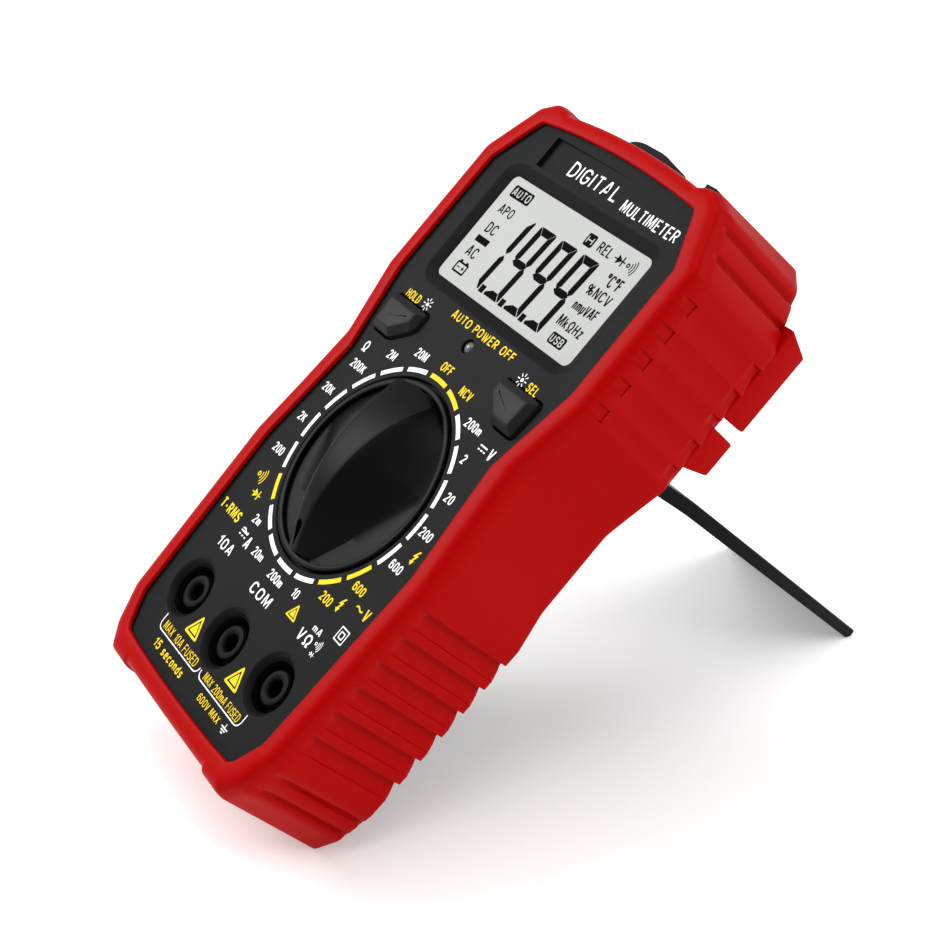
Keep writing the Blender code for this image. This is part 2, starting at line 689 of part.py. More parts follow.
def make_kickstand():
    """A plate with a hinge barrel along its top edge and rounded lower corners."""
    y, z = STAND_AXIS
    half = STAND_HALF_WIDTH
    bm = bmesh.new()
    section = [tuple(p) for p in stand_section()]
    add_loft(bm, [[(x, py, pz) for py, pz in section] for x in (-half, half)])
    stand = add_object("kickstand", bm, "black_plastic", origin=(0, y, z))
    barrel = bmesh.new()
    add_turned(barrel, (0, y, z), ((2.2, -half + 0.01), (2.2, half - 0.01)), 16, axis="X")
    combine(stand, "UNION", barrel)
    bores = bmesh.new()
    for side in (-1, 1):
        start, end = sorted((side * (half - 6.0), side * (half + 1.0)))
        add_turned(bores, (0, y, z), ((PIN_RADIUS + 0.2, start), (PIN_RADIUS + 0.2, end)), 12, axis="X")
    corner = 1.6
    for side in (-1, 1):
        end_z = STAND_FOOT[1] - FOOT_FLAT
        wedge = [(side * (half - corner - 1.0), end_z - 1.0), (side * (half + 1.0), end_z - 1.0),
                 (side * (half + 1.0), end_z + corner + 1.0)]
        rings = [[(px, py, pz) for px, pz in wedge] for py in (STAND_FOOT[0] - 8.0, STAND_FOOT[0] + 8.0)]
        add_loft(bores, rings)
    combine(stand, "DIFFERENCE", bores)
    for side, name in ((-1, "left"), (1, "right")):
        pin = bmesh.new()
        start, end = sorted((side * (half - 5.5), side * (HINGE_EAR_X[1] - 0.3)))
        add_turned(pin, (0, y, z), ((PIN_RADIUS, start), (PIN_RADIUS, end)), 12, axis="X")
        add_object(f"kickstand_pin_{name}", pin, "steel", origin=(0, y, z))


# ---------------------------------------------------------------- rotary switch


def ridge_top(y):
    """Height of the grip's arched crest above the face."""
    share = (y - RIDGE_CENTRE_Y) / (KNOB_RADIUS + 0.8)
    return KNOB_SKIRT_TOP + RIDGE_HEIGHT * max(0.0, 1 - share * share)


def ridge_half_width(y):
    """The crest is narrow at its pointer end (-Y) and flares at its rounded end (+Y)."""
    share = (y + KNOB_RADIUS) / (2 * KNOB_RADIUS)
    return 1.4 + 4.2 * share + 2.6 * share**6


def flank_half_width(y):
    """Half-width of the grip's foot, which reaches the knob's edge above the middle."""
    rim = math.sqrt(max(0.0, (KNOB_RADIUS - 1.3) ** 2 - y * y))
    return min(rim, 3.0 + 0.64 * (y + KNOB_RADIUS))


def knob_height(x, y):
    crest, foot = ridge_half_width(y), flank_half_width(y)
    if abs(x) <= crest:
        return ridge_top(y)
    if abs(x) >= foot:
        return KNOB_SKIRT_TOP
    share = (foot - abs(x)) / (foot - crest)
    return KNOB_SKIRT_TOP + (ridge_top(y) - KNOB_SKIRT_TOP) * share**1.25


def make_dial_knob():
    """A disc with a teardrop grip: its height is worked out over rings of points."""
    segments = 40
    radii = (KNOB_RADIUS, KNOB_RADIUS - 1.2, 17.5, 14.0, 10.5, 7.0, 3.5)
    stem = ((3.0, -6.4), (3.0, -KNOB_RECESS_DEPTH + GAP), (KNOB_RADIUS, -KNOB_RECESS_DEPTH + GAP))
    angles = [2 * math.pi * i / segments for i in range(segments)]
    rings = [[on_axis("Z", (0, 0, 0), radius, a, z) for a in angles] for radius, z in stem]
    for radius in radii:
        ring = []
        for a in angles:
            x, y = radius * math.cos(a), radius * math.sin(a)
            ring.append((x, y, knob_height(x, y)))
        rings.append(ring)
    bm = bmesh.new()
    add_loft(bm, rings)
    ends = [face for face in bm.faces if len(face.verts) == segments]
    top = max(ends, key=lambda face: face.calc_center_median().z)
    bmesh.ops.poke(bm, faces=[top])
    add_object("dial_knob", bm, "black_plastic")


def make_rotor():
    bm = bmesh.new()
    hub, bore = 5.7, 3.3
    profile = (
        (bore, -KNOB_RECESS_DEPTH - 0.2), (hub, -KNOB_RECESS_DEPTH - 0.2), (hub, ROTOR_TOP_Z),
        (ROTOR_RADIUS, ROTOR_TOP_Z), (ROTOR_RADIUS, ROTOR_BOTTOM_Z), (4.2, ROTOR_BOTTOM_Z),
        (4.2, BOARD_BOTTOM_Z - 0.4), (bore, BOARD_BOTTOM_Z - 0.4),
    )
    add_turned(bm, (0, 0, 0), profile, 40, hollow=True)
    rotor = add_object("switch_rotor", bm, "white_plastic")
    pockets = bmesh.new()
    for side in (-1, 1):
        profile = ((1.6, ROTOR_BOTTOM_Z + 0.6), (1.6, ROTOR_TOP_Z + 1.0))
        add_turned(pockets, (side * DETENT_RADIUS, 0, 0), profile, 14)
    combine(rotor, "DIFFERENCE", pockets)


def add_coil(bm, centre, radius, wire, start, end, turns, sides=5, per_turn=10):
    """A helical wire about a Z line through centre."""
    steps = turns * per_turn
    rings = []
    for i in range(steps + 1):
        turn = 2 * math.pi * i / per_turn
        z = start + (end - start) * i / steps
        ring = []
        for k in range(sides):
            a = 2 * math.pi * k / sides
            reach = radius + wire * math.cos(a)
            ring.append((centre[0] + reach * math.cos(turn), centre[1] + reach * math.sin(turn),
                         centre[2] + z + wire * math.sin(a)))
        rings.append(ring)
    add_loft(bm, rings)


def make_detents():
    for side, name in ((-1, "left"), (1, "right")):
        x = side * DETENT_RADIUS
        bm = bmesh.new()
        bmesh.ops.create_uvsphere(
            bm, u_segments=14, v_segments=8, radius=1.25, matrix=Matrix.Translation((x, 0, -4.6))
        )
        add_object(f"detent_ball_{name}", bm, "steel")
        bm = bmesh.new()
        add_coil(bm, (x, 0, 0), 0.95, 0.16, -7.15, -6.1, 3)
        add_object(f"detent_spring_{name}", bm, "steel")


def make_wipers():
    """Three bridging contacts under the rotor, at different radii, that slide on the board."""
    for i, (radius, turn) in enumerate(((8.0, 90), (11.0, 210), (14.0, 330)), 1):
        angle = math.radians(turn)
        bm = bmesh.new()
        half_long, half_wide, thick = 2.6, 0.9, 0.22
        top_z, low_z = ROTOR_BOTTOM_Z - 0.25, BOARD_TOP_Z + 0.2
        shape = ((-half_long, low_z + thick), (-half_long + 0.8, low_z), (-0.9, top_z - thick),
                 (0.9, top_z - thick), (half_long - 0.8, low_z), (half_long, low_z + thick))
        under = [(u, z) for u, z in shape]
        over = [(u, z + thick) for u, z in reversed(shape)]
        turn_matrix = Matrix.Rotation(angle, 4, "Z") @ Matrix.Translation((radius, 0, 0))
        rings = []
        for v in (-half_wide, half_wide):
            rings.append([tuple(turn_matrix @ Vector((v, u, z))) for u, z in under + over])
        add_loft(bm, rings)
        add_object(f"switch_wiper_{i}", bm, "brass")


# ---------------------------------------------------------------- push buttons


def make_button(name, outline):
    """A faceted cap with a flange that keeps it in the case and a plunger behind it."""
    bm = bmesh.new()
    flange_low, flange_high = -FACE_PLATE - GAP - 0.9, -FACE_PLATE - GAP
    levels = (
        (0.9, flange_low), (0.9, flange_high), (0.0, flange_high + 0.0001), (0.0, 0.9),
        (-1.0, BUTTON_TOP_Z), (-2.2, BUTTON_TOP_Z + 0.1),
    )
    outlines = [offset_polygon(outline, grow) for grow, z in levels]
    add_prism(bm, outlines, [z for grow, z in levels])
    x, y = key_centre(outline)
    cap = add_object(name, bm, "key_plastic", origin=(x, y, 0))
    plunger = bmesh.new()
    add_turned(plunger, (x, y, 0), ((1.6, -5.0), (1.6, flange_low + 0.5)), 12)
    combine(cap, "UNION", plunger)


def key_centre(outline):
    return (sum(x for x, y in outline) / len(outline), sum(y for x, y in outline) / len(outline))


def make_key_switch(name, outline):
    """The square switch body on the board, and its moving stem."""
    x, y = key_centre(outline)
    bm = bmesh.new()
    half, bore = 3.0, 2.0
    low, high = BOARD_TOP_Z + GAP, -5.9
    sides = 16
    angles = [2 * math.pi * i / sides for i in range(sides)]

    def square(a):
        reach = half / max(abs(math.cos(a)), abs(math.sin(a)))
        return (x + reach * math.cos(a), y + reach * math.sin(a))

    outer = [square(a) for a in angles]
    inner = [(x + bore * math.cos(a), y + bore * math.sin(a)) for a in angles]
    rings = [[(px, py, z) for px, py in ring] for ring, z in
             ((outer, low), (outer, high), (inner, high), (inner, low))]
    add_loft(bm, rings, wrap=True)
    add_object(name, bm, "black_plastic")
    stem = bmesh.new()
    add_turned(stem, (x, y, 0), ((1.7, -8.1), (1.7, -5.3)), 14)
    add_object(f"{name}_stem", stem, "white_plastic", origin=(x, y, 0))


def make_buttons():
    for name, switch, outline in (
        ("select_button", "select_switch", BUTTON_OUTLINE),
        ("hold_button", "hold_switch", mirrored(BUTTON_OUTLINE)),
    ):
        make_button(name, outline)
        make_key_switch(switch, outline)


# ---------------------------------------------------------------- display


def make_slab(name, slot, centre, half, z_low, z_high, radius):
    bm = bmesh.new()
    add_prism(bm, rounded_rectangle(centre, half, radius), (z_low, z_high))
    return add_object(name, bm, slot)


def make_display():
    centre = (0, DISPLAY_Y)
    make_slab("display_window", "clear_plastic", centre, (BEZEL_HALF[0] - GAP, BEZEL_HALF[1] - GAP), -1.0,
              -0.35, 2.7)
    glass_low, glass_high = -4.9, -FACE_PLATE - GAP
    make_slab("display_glass", "display_glass", centre, DISPLAY_GLASS_HALF, glass_low, glass_high, 0.5)
    lit_centre, lit_half = (0, DISPLAY_Y + 1.2), (27.5, 13.0)
    make_slab("backlight_panel", "white_plastic", lit_centre, lit_half, -7.7, glass_low - GAP, 1.0)
    strip = bmesh.new()
    strip_y = DISPLAY_Y - 14.0
    add_box(strip, (-26.0, strip_y - 1.0, BOARD_TOP_Z + GAP), (26.0, strip_y + 1.0, glass_low - GAP))
    add_object("contact_strip", strip, "conductive_rubber")
    frame = bmesh.new()
    outer = rounded_rectangle(centre, (30.2, 17.3), 1.5)
    inner = rounded_rectangle(centre, (DISPLAY_GLASS_HALF[0] + GAP, DISPLAY_GLASS_HALF[1] + GAP), 0.6)
    low, high = BOARD_TOP_Z + GAP, -FACE_PLATE - GAP
    rings = [[(x, y, z) for x, y in ring] for ring, z in
             ((outer, low), (outer, high), (inner, high), (inner, low))]
    add_loft(frame, rings, wrap=True)
    add_object("display_frame", frame, "white_plastic")


def make_led():
    bm = bmesh.new()
    profile = ((1.7, -5.6), (1.7, -5.0), (1.45, -5.0), (1.45, -1.6), (1.2, -0.9), (0.6, -0.5))
    add_turned(bm, (*LED_XY, 0), profile, 14)
    led = add_object("indicator_led", bm, "clear_plastic")
    leads = bmesh.new()
    for side in (-1, 1):
        x = LED_XY[0] + side * 0.8
        add_box(leads, (x - 0.25, LED_XY[1] - 0.25, BOARD_TOP_Z + GAP), (x + 0.25, LED_XY[1] + 0.25, -5.3))
    combine(led, "UNION", leads)


# ---------------------------------------------------------------- board and what it carries


def make_board():
    bm = bmesh.new()
    inset = CASE_WALL + 0.7
    add_loft(bm, [case_ring(z, inset) for z in (BOARD_BOTTOM_Z, BOARD_TOP_Z)])
    board = add_object("main_board", bm, "board_green")
    holes = bmesh.new()
    low, high = BOARD_BOTTOM_Z - 1.0, BOARD_TOP_Z + 1.0
    wanted = [(xy, 3.6, 16) for xy in CASE_SCREWS] + [(xy, 1.25, 10) for xy in BOARD_SCREWS]
    wanted += [(xy, JACK_SLEEVE_RADIUS + GAP, 20) for xy in JACKS.values()]
    wanted.append(((0, 0), 4.6, 20))
    for xy, radius, segments in wanted:
        add_turned(holes, (*xy, 0), ((radius, low), (radius, high)), segments)
    combine(board, "DIFFERENCE", holes)


def make_jacks():
    """Brass sleeves with a solder collar behind the board and a blind bore for a 4 mm plug."""
    for name, xy in JACKS.items():
        bm = bmesh.new()
        outer, bore, collar = JACK_SLEEVE_RADIUS, JACK_BORE_RADIUS, 4.7
        collar_top = BOARD_BOTTOM_Z - GAP
        profile = (
            (bore, -20.0), (bore, -2.8), (outer, -2.8), (outer, collar_top), (collar, collar_top),
            (collar, collar_top - 0.9), (outer, collar_top - 0.9), (outer, -21.4),
        )
        add_turned(bm, (*xy, 0), profile, 16)
        add_object(name, bm, "brass", origin=(*xy, 0))


def make_fuses():
    half_length, radius = FUSE_HALF_LENGTH, FUSE_RADIUS
    for name, (x, y, slot) in FUSES.items():
        bm = bmesh.new()
        cap = half_length - 5.0
        profile = ((radius, -half_length), (radius, -cap), (radius - 0.25, -cap), (radius - 0.25, cap),
                   (radius, cap), (radius, half_length))
        add_turned(bm, (x, y, FUSE_Z), profile, 16, axis="Y")
        add_object(name, bm, slot)
        for end, side in (("lower", -1), ("upper", 1)):
            make_fuse_clip(f"{name}_clip_{end}", x, y + side * (half_length - 2.5))


def make_fuse_clip(name, x, y):
    """A springy fork that grips one end cap of a fuse and is soldered to the board."""
    bm = bmesh.new()
    inner, outer, half = FUSE_RADIUS + GAP, FUSE_RADIUS + GAP + 0.4, 1.7
    top_z = BOARD_BOTTOM_Z - GAP
    arc = [math.radians(a) for a in (30, 0, -30, -60)]
    side_arc = [(math.cos(a), math.sin(a)) for a in arc]
    base_z = FUSE_Z + outer
    outer_path = [(outer * c, -outer * s) for c, s in side_arc]
    inner_path = [(inner * c, -inner * s) for c, s in side_arc]
    mirrored_outer = [(-u, w) for u, w in reversed(outer_path)]
    mirrored_inner = [(-u, w) for u, w in inner_path]
    floor = FUSE_Z + inner
    section = [(u, FUSE_Z + w) for u, w in outer_path]
    section += [(1.6, base_z), (1.6, top_z), (-1.6, top_z), (-1.6, base_z)]
    section += [(u, FUSE_Z + w) for u, w in mirrored_outer]
    section += [(u, FUSE_Z + w) for u, w in mirrored_inner]
    section += [(-1.0, floor), (1.0, floor)]
    section += [(u, FUSE_Z + w) for u, w in inner_path[::-1]]
    add_loft(bm, [[(x + u, y + v, w) for u, w in section] for v in (-half, half)])
    add_object(name, bm, "brass")


def make_shunt():
    """The thick wire loop that carries the 10 A range."""
    bm = bmesh.new()
    centre_x, y, half, wire = -9.3, -36.0, 4.2, 0.75
    top, low = BOARD_BOTTOM_Z - GAP, -14.2
    path = [(centre_x - half, top), (centre_x - half, low + 1.2)]
    for step in range(1, 6):
        a = math.pi * step / 6
        path.append((centre_x - half * math.cos(a), low + 1.2 - 1.6 * math.sin(a)))
    path += [(centre_x + half, low + 1.2), (centre_x + half, top)]
    rings = []
    for i, (x, z) in enumerate(path):
        before, after = Vector(path[max(i - 1, 0)]), Vector(path[min(i + 1, len(path) - 1)])
        along = (after - before).normalized()
        side = Vector((-along.y, along.x))
        ring = []
        for k in range(8):
            a = 2 * math.pi * k / 8
            offset = side * (wire * math.cos(a))
            ring.append((x + offset.x, y + wire * math.sin(a), z + offset.y))
        rings.append(ring)
    add_loft(bm, rings)
    add_object("current_shunt", bm, "copper")


def make_sensor_plate():
    """The bent plate behind the nose that senses live wires without contact."""
    bm = bmesh.new()
    y_front, y_back, thick = 75.6, 70.4, 0.4
    low, high = BOARD_TOP_Z + GAP, -7.0
    section = ((y_back, low), (y_back, high), (y_front, high), (y_front, high - thick),
               (y_back + thick, high - thick), (y_back + thick, low))
    add_loft(bm, [[(x, py, pz) for py, pz in section] for x in (-8.0, 8.0)])
    add_object("sensor_plate", bm, "copper")


def make_buzzer():
    bm = bmesh.new()
    top = BOARD_BOTTOM_Z - GAP
    profile = ((1.2, -13.6), (1.2, -16.4), (6.1, -16.4), (6.1, top))
    add_turned(bm, (21.2, -9.0, 0), profile, 24)
    add_object("buzzer", bm, "black_plastic")


def make_chip():
    bm = bmesh.new()
    centre, half = (0.0, 29.0), (7.0, 7.0)
    edge = rounded_rectangle(centre, half, 0.6, 1)
    top = rounded_rectangle(centre, (half[0] - 0.3, half[1] - 0.3), 0.6, 1)
    add_prism(bm, [top, edge, edge], (-12.5, -12.0, BOARD_BOTTOM_Z - GAP))
    add_object("meter_chip", bm, "black_plastic")


# ---------------------------------------------------------------- batteries


def make_cells():
    """Two AAA cells, laid head to tail."""
    low_y = BAY_Y[0] + 3.4
    high_y = low_y + CELL_LENGTH
    for i, side in ((1, -1), (2, 1)):
        x = side * CELL_X
        bm = bmesh.new()
        r = CELL_RADIUS
        body = [(r - 0.6, 0.0), (r, 0.5), (r, CELL_LENGTH - 1.6), (r - 0.6, CELL_LENGTH - 1.1),
                (1.9, CELL_LENGTH - 1.1), (1.9, CELL_LENGTH)]
        if side < 0:
            profile = [(radius, low_y + along) for radius, along in body]
        else:
            profile = [(radius, high_y - along) for radius, along in body]
        add_turned(bm, (x, 0, CELL_Z), profile, 20, axis="Y")
        add_object(f"battery_{i}", bm, "cell_jacket")


def make_battery_contacts():
    """Two plates, each with a raised boss, at one end of the bay, and one bridge at the other."""
    low, reach = BAY_Y[0] + 0.3, BAY_Y[0] + 3.1
    for i, side, root_radius, tip_radius in ((1, -1, 2.4, 1.6), (2, 1, 2.0, 1.4)):
        x = side * CELL_X
        bm = bmesh.new()
        add_box(bm, (x - 3.5, low, CELL_Z - 3.5), (x + 3.5, low + CONTACT_THICK, CELL_Z + 3.5))
        plate = add_object(f"battery_contact_{i}", bm, "steel")
        boss = bmesh.new()
        profile = ((root_radius, low + 0.5 * CONTACT_THICK), (tip_radius, reach))
        add_turned(boss, (x, 0, CELL_Z), profile, 16, axis="Y")
        combine(plate, "UNION", boss)
    bridge = bmesh.new()
    high = BAY_Y[1] - 0.3
    add_box(bridge, (-CELL_X - 3.5, high - 0.5, CELL_Z - 3.0), (CELL_X + 3.5, high, CELL_Z + 3.0))
    add_object("battery_bridge", bridge, "steel")


# ---------------------------------------------------------------- assembly


def centre_over_origin(frame):
    """Moves the frame so that the whole box stands on Z = 0, centred on the Z axis."""
    bpy.context.view_layer.update()
    graph = bpy.context.evaluated_depsgraph_get()
    points = []
    for obj in bpy.context.scene.objects:
        if obj.type != "MESH" or obj.hide_render:
            continue
        evaluated = obj.evaluated_get(graph)
        mesh = evaluated.to_mesh()
        points += [evaluated.matrix_world @ vert.co for vert in mesh.vertices]
        evaluated.to_mesh_clear()
    low = [min(p[i] for p in points) for i in range(3)]
    high = [max(p[i] for p in points) for i in range(3)]
    frame.location = (-0.5 * (low[0] + high[0]), -0.5 * (low[1] + high[1]), -low[2])
    bpy.context.view_layer.update()


def main():
    clear_scene()
    frame = make_frame()
    make_holster()
    make_front_case()
    make_rear_case()
    make_battery_cover()
    make_screws()
    make_kickstand()
    make_dial_knob()
    make_rotor()
    make_detents()
    make_wipers()
    make_buttons()
    make_display()
    make_led()
    make_board()
    make_jacks()
    make_fuses()
    make_shunt()
    make_buzzer()
    make_chip()
    make_sensor_plate()
    make_cells()
    make_battery_contacts()
    centre_over_origin(frame)


main()
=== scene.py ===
"""Looks of a handheld multimeter in a rubber holster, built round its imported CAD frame.

Everything is modelled in the meter's own frame, in millimetres: the origin is the middle of the
rotary switch on the face, +X runs across the face, +Y runs up it and +Z comes out of it. TO_WORLD,
worked out from the knob's joint, carries each piece into the frame.
"""

import json
import math
from collections import namedtuple

import bmesh
import bpy
from mathutils import Euler, Matrix, Vector


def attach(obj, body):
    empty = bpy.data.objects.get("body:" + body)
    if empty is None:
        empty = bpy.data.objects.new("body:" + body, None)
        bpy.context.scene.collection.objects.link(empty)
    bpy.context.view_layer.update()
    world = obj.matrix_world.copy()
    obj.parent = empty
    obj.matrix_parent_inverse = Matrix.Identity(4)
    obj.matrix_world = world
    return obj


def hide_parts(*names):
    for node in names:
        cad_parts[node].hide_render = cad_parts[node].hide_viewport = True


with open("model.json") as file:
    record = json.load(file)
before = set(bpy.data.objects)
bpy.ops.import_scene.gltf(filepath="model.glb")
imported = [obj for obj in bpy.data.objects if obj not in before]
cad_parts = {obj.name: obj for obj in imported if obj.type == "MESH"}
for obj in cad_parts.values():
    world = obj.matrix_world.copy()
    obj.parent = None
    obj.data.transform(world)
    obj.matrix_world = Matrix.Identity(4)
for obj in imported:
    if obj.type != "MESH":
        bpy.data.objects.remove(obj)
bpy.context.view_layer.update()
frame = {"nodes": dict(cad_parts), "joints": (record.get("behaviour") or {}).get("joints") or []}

MM = 0.001
GAP = 0.3  # clearance between neighbouring pieces

# ---------------------------------------------------------------- driving dimensions

# Depths along Z, from the face plane backwards.
LIP_UNDER_Z = 0.3
SHOULDER_Z = -3.7
BACK_Z = -29.5
HEEL_TOP_Z = -28.3
PARTING_Z = -14.0
CASE_BACK_Z = -26.5
CASE_WALL = 1.8
FACE_PLATE = 2.4
HOLSTER_BACK = 2.7
HOLSTER_SIDE = 3.0
CASE_UNDER_LIP = 1.4
HEEL_RUN = 1.37  # how far the heel's narrow flat runs in from the holster's back edge
HEEL_Y = -60.6
CORNER_REACH = 0.8  # where the rounding of the outline's corners starts

Key = namedtuple("Key", "name face shoulder back")

# Right half of the outline, clockwise from the top: the face's edge inside the holster's lip, the
# holster's shoulder behind its rim, and the holster's back edge.
KEYS = (
    Key("top_middle", (0.0, 77.2), (0.0, 81.2), (0.0, 81.6)),
    Key("top_edge", (20.6, 76.3), (22.5, 79.9), (22.2, 80.5)),
    Key("top_bumper", (21.6, 76.2), (24.8, 80.9), (24.3, 81.7)),
    Key("top_corner", (26.4, 75.7), (27.2, 81.2), (26.1, 82.0)),
    Key("corner_side", (27.3, 74.7), (31.6, 78.6), (30.2, 78.6)),
    Key("upper_side", (32.9, 64.5), (38.1, 66.3), (36.6, 66.0)),
    Key("display_foot", (33.2, 36.0), (38.2, 34.9), (37.0, 33.6)),
    Key("waist", (28.8, 17.0), (34.2, 19.6), (32.9, 21.0)),
    Key("waist_low", (30.2, 5.2), (35.4, 5.0), (33.0, 1.8)),
    Key("switch_side", (31.7, -7.2), (36.8, -7.9), (34.8, -6.5)),
    Key("lower_side", (29.6, -47.3), (34.6, -48.0), (32.7, -48.0)),
    Key("heel_side", (26.3, -53.5), (31.2, -56.0), (30.2, -55.8)),
    Key("heel_corner", (25.0, -54.6), (27.0, HEEL_Y), (26.4, HEEL_Y)),
    Key("heel_bumper", (20.2, -54.95), (20.2, HEEL_Y), (20.2, HEEL_Y)),
    Key("bottom_edge", (19.5, -55.0), (19.5, -59.8), (19.5, -59.8)),
    Key("bottom_middle", (0.0, -55.4), (0.0, -59.9), (0.0, -59.9)),
)

# Finger grips across the holster's sides: steps of (distance down, depth, extra depth at the back
# edge) from each grip's first y, and the depths between which a grip fades in behind the rim.
Grip = namedtuple("Grip", "segment first_y pitch count fade steps")
RAMP = ((0, 0, 0), (0.06, 0.3, 0), (0.14, 0.9, 0), (0.26, 1.25, 0), (0.5, 1.35, 0), (1.0, 1.22, 0),
        (2.2, 0.85, 0), (3.3, 0.52, 0), (3.85, 0.36, 0), (3.93, 0.18, 0), (4.0, 0, 0))
SWELL = ((0, 0, 0), (0.08, 0.02, 0.4), (0.2, 0.06, 0.75), (0.9, 0.2, 0.62), (1.8, 0.34, 0.42),
         (2.8, 0.4, 0.25), (3.8, 0.34, 0.1), (4.8, 0.18, 0.02), (5.6, 0.03, 0))
VALLEY = ((0, 0, 0), (0.3, 0.16, 0), (0.6, 0.6, 0), (0.85, 0.98, 0), (1.05, 1.05, 0), (1.25, 0.98, 0),
          (1.5, 0.6, 0), (1.8, 0.16, 0), (2.1, 0, 0))
GRIPS = (
    Grip("corner_side", 77.3, 5.1, 2, (-1.2, -4.5), VALLEY),
    Grip("upper_side", 62.4, 5.95, 5, (-2.5, -6.0), SWELL),
    Grip("switch_side", -10.0, 5.97, 6, (-1.0, -5.0), RAMP),
    Grip("lower_side", -49.3, 3.9, 2, (-1.0, -9.0), VALLEY),
)
TAIL_FADE = (-25.2, -26.3)  # where the extra depth at the back edge fades in

# Square pockets at the front ends of the upper grips, and notches at the back ends of the lower ones.
POCKET_Y = (62.2, 56.1, 50.0, 44.0, 38.1)
POCKET_TALL = 2.8
POCKET_Z = (-4.6, -0.9)
POCKET_DEPTH = 0.45
NOTCH_Z = (-28.0, -29.2)
NOTCH_DEPTH = 4.4

# Section of the holster's rim, from the face to the shoulder, as (share across, height), and the
# heights of the side wall's rings below it.
RIM = ((0.0, 0.3), (0.004, 0.6), (0.015, 0.82), (0.04, 0.94), (0.09, 0.99), (0.2, 1.0), (0.35, 0.97),
       (0.5, 0.9), (0.62, 0.79), (0.72, 0.63), (0.8, 0.4), (0.86, 0.1), (0.905, -0.32), (0.94, -0.9),
       (0.965, -1.5), (0.985, -2.1), (0.997, -2.7), (1.0, -3.2))
SIDE_LEVELS = (-3.7, -4.5, -6.0, -9.0, -13.0, -17.0, -21.0, -24.6, -25.2, -25.7, -26.3, -27.2)

# Opening in the holster's back.
WINDOW_HALF = 26.5
WINDOW_Y = (-56.0, 39.2)

# Probe clips on the holster's back.
CLIP_X = (24.2, 36.3)
CLIP_CHANNEL_X = (26.6, 34.0)
CLIP_ROOT_Z = BACK_Z + 1.2
CLIP_BACK_Z = -35.2
CLIP_FLOOR_Z = BACK_Z - 0.8
CLIP_LOBES = ((51.4, 72.0, 51.6, 69.6), (39.2, 48.8, 41.1, 48.7))  # y at the root, then at the back

# Sensor nose and lug on the front case's top end, and the room their slots leave round them.
NOSE_OUTLINE = ((-7.8, 77.6), (-7.6, 81.2), (-6.4, 82.6), (-3.5, 83.0), (3.5, 83.0), (6.4, 82.3), (7.6, 80.9),
                (7.8, 77.6))
NOSE_Z = (-9.5, -4.0)
LUG_X = (18.9, 21.9)
LUG_Z = (-9.0, -4.2)
LUG_TOP_Y = 82.1
SLOT_CLEARANCE = 0.4
SLOT_Y = (76.0, 84.0)

# Display, on the middle line of the face.
DISPLAY_Y = 51.8
LCD_HALF = (25.0, 12.5)
BEZEL_HALF = (28.0, 15.4)
LCD_Z = -1.27

# Rotary switch.
KNOB_RADIUS = 20.9
KNOB_RECESS_RADIUS = 21.4
KNOB_RECESS_DEPTH = 1.3
KNOB_SKIRT_TOP = 0.4
KNOB_FLOOR_Z = -0.6
KNOB_GRIP_RADIUS = 19.45
RIDGE_HEIGHT = 6.9
RIDGE_CENTRE_Y = 0.8
RIDGE_ROUND = 0.22  # how far the crest's edges are rounded down

JACKS = ((-19.0, -39.8), (0.0, -40.9), (19.0, -39.8))
BUTTON_OUTLINE = ((15.4, 31.3), (28.2, 31.3), (27.6, 23.0), (21.0, 23.0), (15.6, 27.2))
LED_XY = (0.0, 31.4)

# Kickstand: its side view as (y, z) at the hinge, the bend and the foot.
STAND_AXIS = (33.0, -28.3)
STAND_BEND = (35.2, -52.0)
STAND_FOOT = (36.5, -113.5)
STAND_HALF_WIDTH = 22.0
STAND_THICK_TOP = 3.0
STAND_THICK_TIP = 2.4
FOOT_FLAT = 1.2


# ---------------------------------------------------------------- frame and mesh helpers


def meter_matrix():
    """From the meter's millimetres to the frame's metres."""
    joint = next(j for j in frame["joints"] if j["name"] == "knob_turn")
    out = Vector(joint["axis"]).normalized()
    across = Vector((1.0, 0.0, 0.0))
    turn = Matrix((across, out.cross(across), out)).transposed().to_4x4()
    return Matrix.Translation(joint["pos_m"]) @ turn @ Matrix.Scale(MM, 4)


TO_WORLD = meter_matrix()
TILT = math.atan2(HEEL_TOP_Z - STAND_FOOT[1], STAND_FOOT[0] - HEEL_Y)


def link_object(name, data):
    made = bpy.data.objects.new(name, data)
    bpy.context.scene.collection.objects.link(made)
    return made


def link_mesh(name, bm):
    """The bmesh, which it frees, as an object with its faces turned outwards."""
    bmesh.ops.recalc_face_normals(bm, faces=bm.faces)
    mesh = bpy.data.meshes.new(name)
    bm.to_mesh(mesh)
    bm.free()
    return link_object(name, mesh)


def smooth(mesh, sharp):
    """Smooth shading, except along edges that bend by more than that many degrees."""
    mesh.shade_smooth()
    mesh.set_sharp_from_angle(angle=math.radians(sharp))


def add_piece(name, bm, material, body, replaces=(), sharp=34.0, even=False):
    """Turns a bmesh in the meter's frame into a piece that rides on a body."""
    piece = link_mesh(name, bm)
    piece.data.transform(TO_WORLD)
    smooth(piece.data, sharp)
    piece.data.materials.append(material)
    if even:
        shading = piece.modifiers.new("even_shading", "WEIGHTED_NORMAL")
        shading.keep_sharp = True
    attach(piece, body)
    if replaces:
        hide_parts(*replaces)


def add_loft(bm, rings, wrap=False):
    """Bridges rings of equally many points, and caps the two ends unless the loft wraps."""
    loops = [[bm.verts.new(point) for point in ring] for ring in rings]
    pairs = list(zip(loops, loops[1:]))
    if wrap:
        pairs.append((loops[-1], loops[0]))
    for near, far in pairs:
        for i, vert in enumerate(near):
            j = (i + 1) % len(near)
            bm.faces.new((vert, near[j], far[j], far[i]))
    if not wrap:
        bm.faces.new(reversed(loops[0]))
        bm.faces.new(loops[-1])


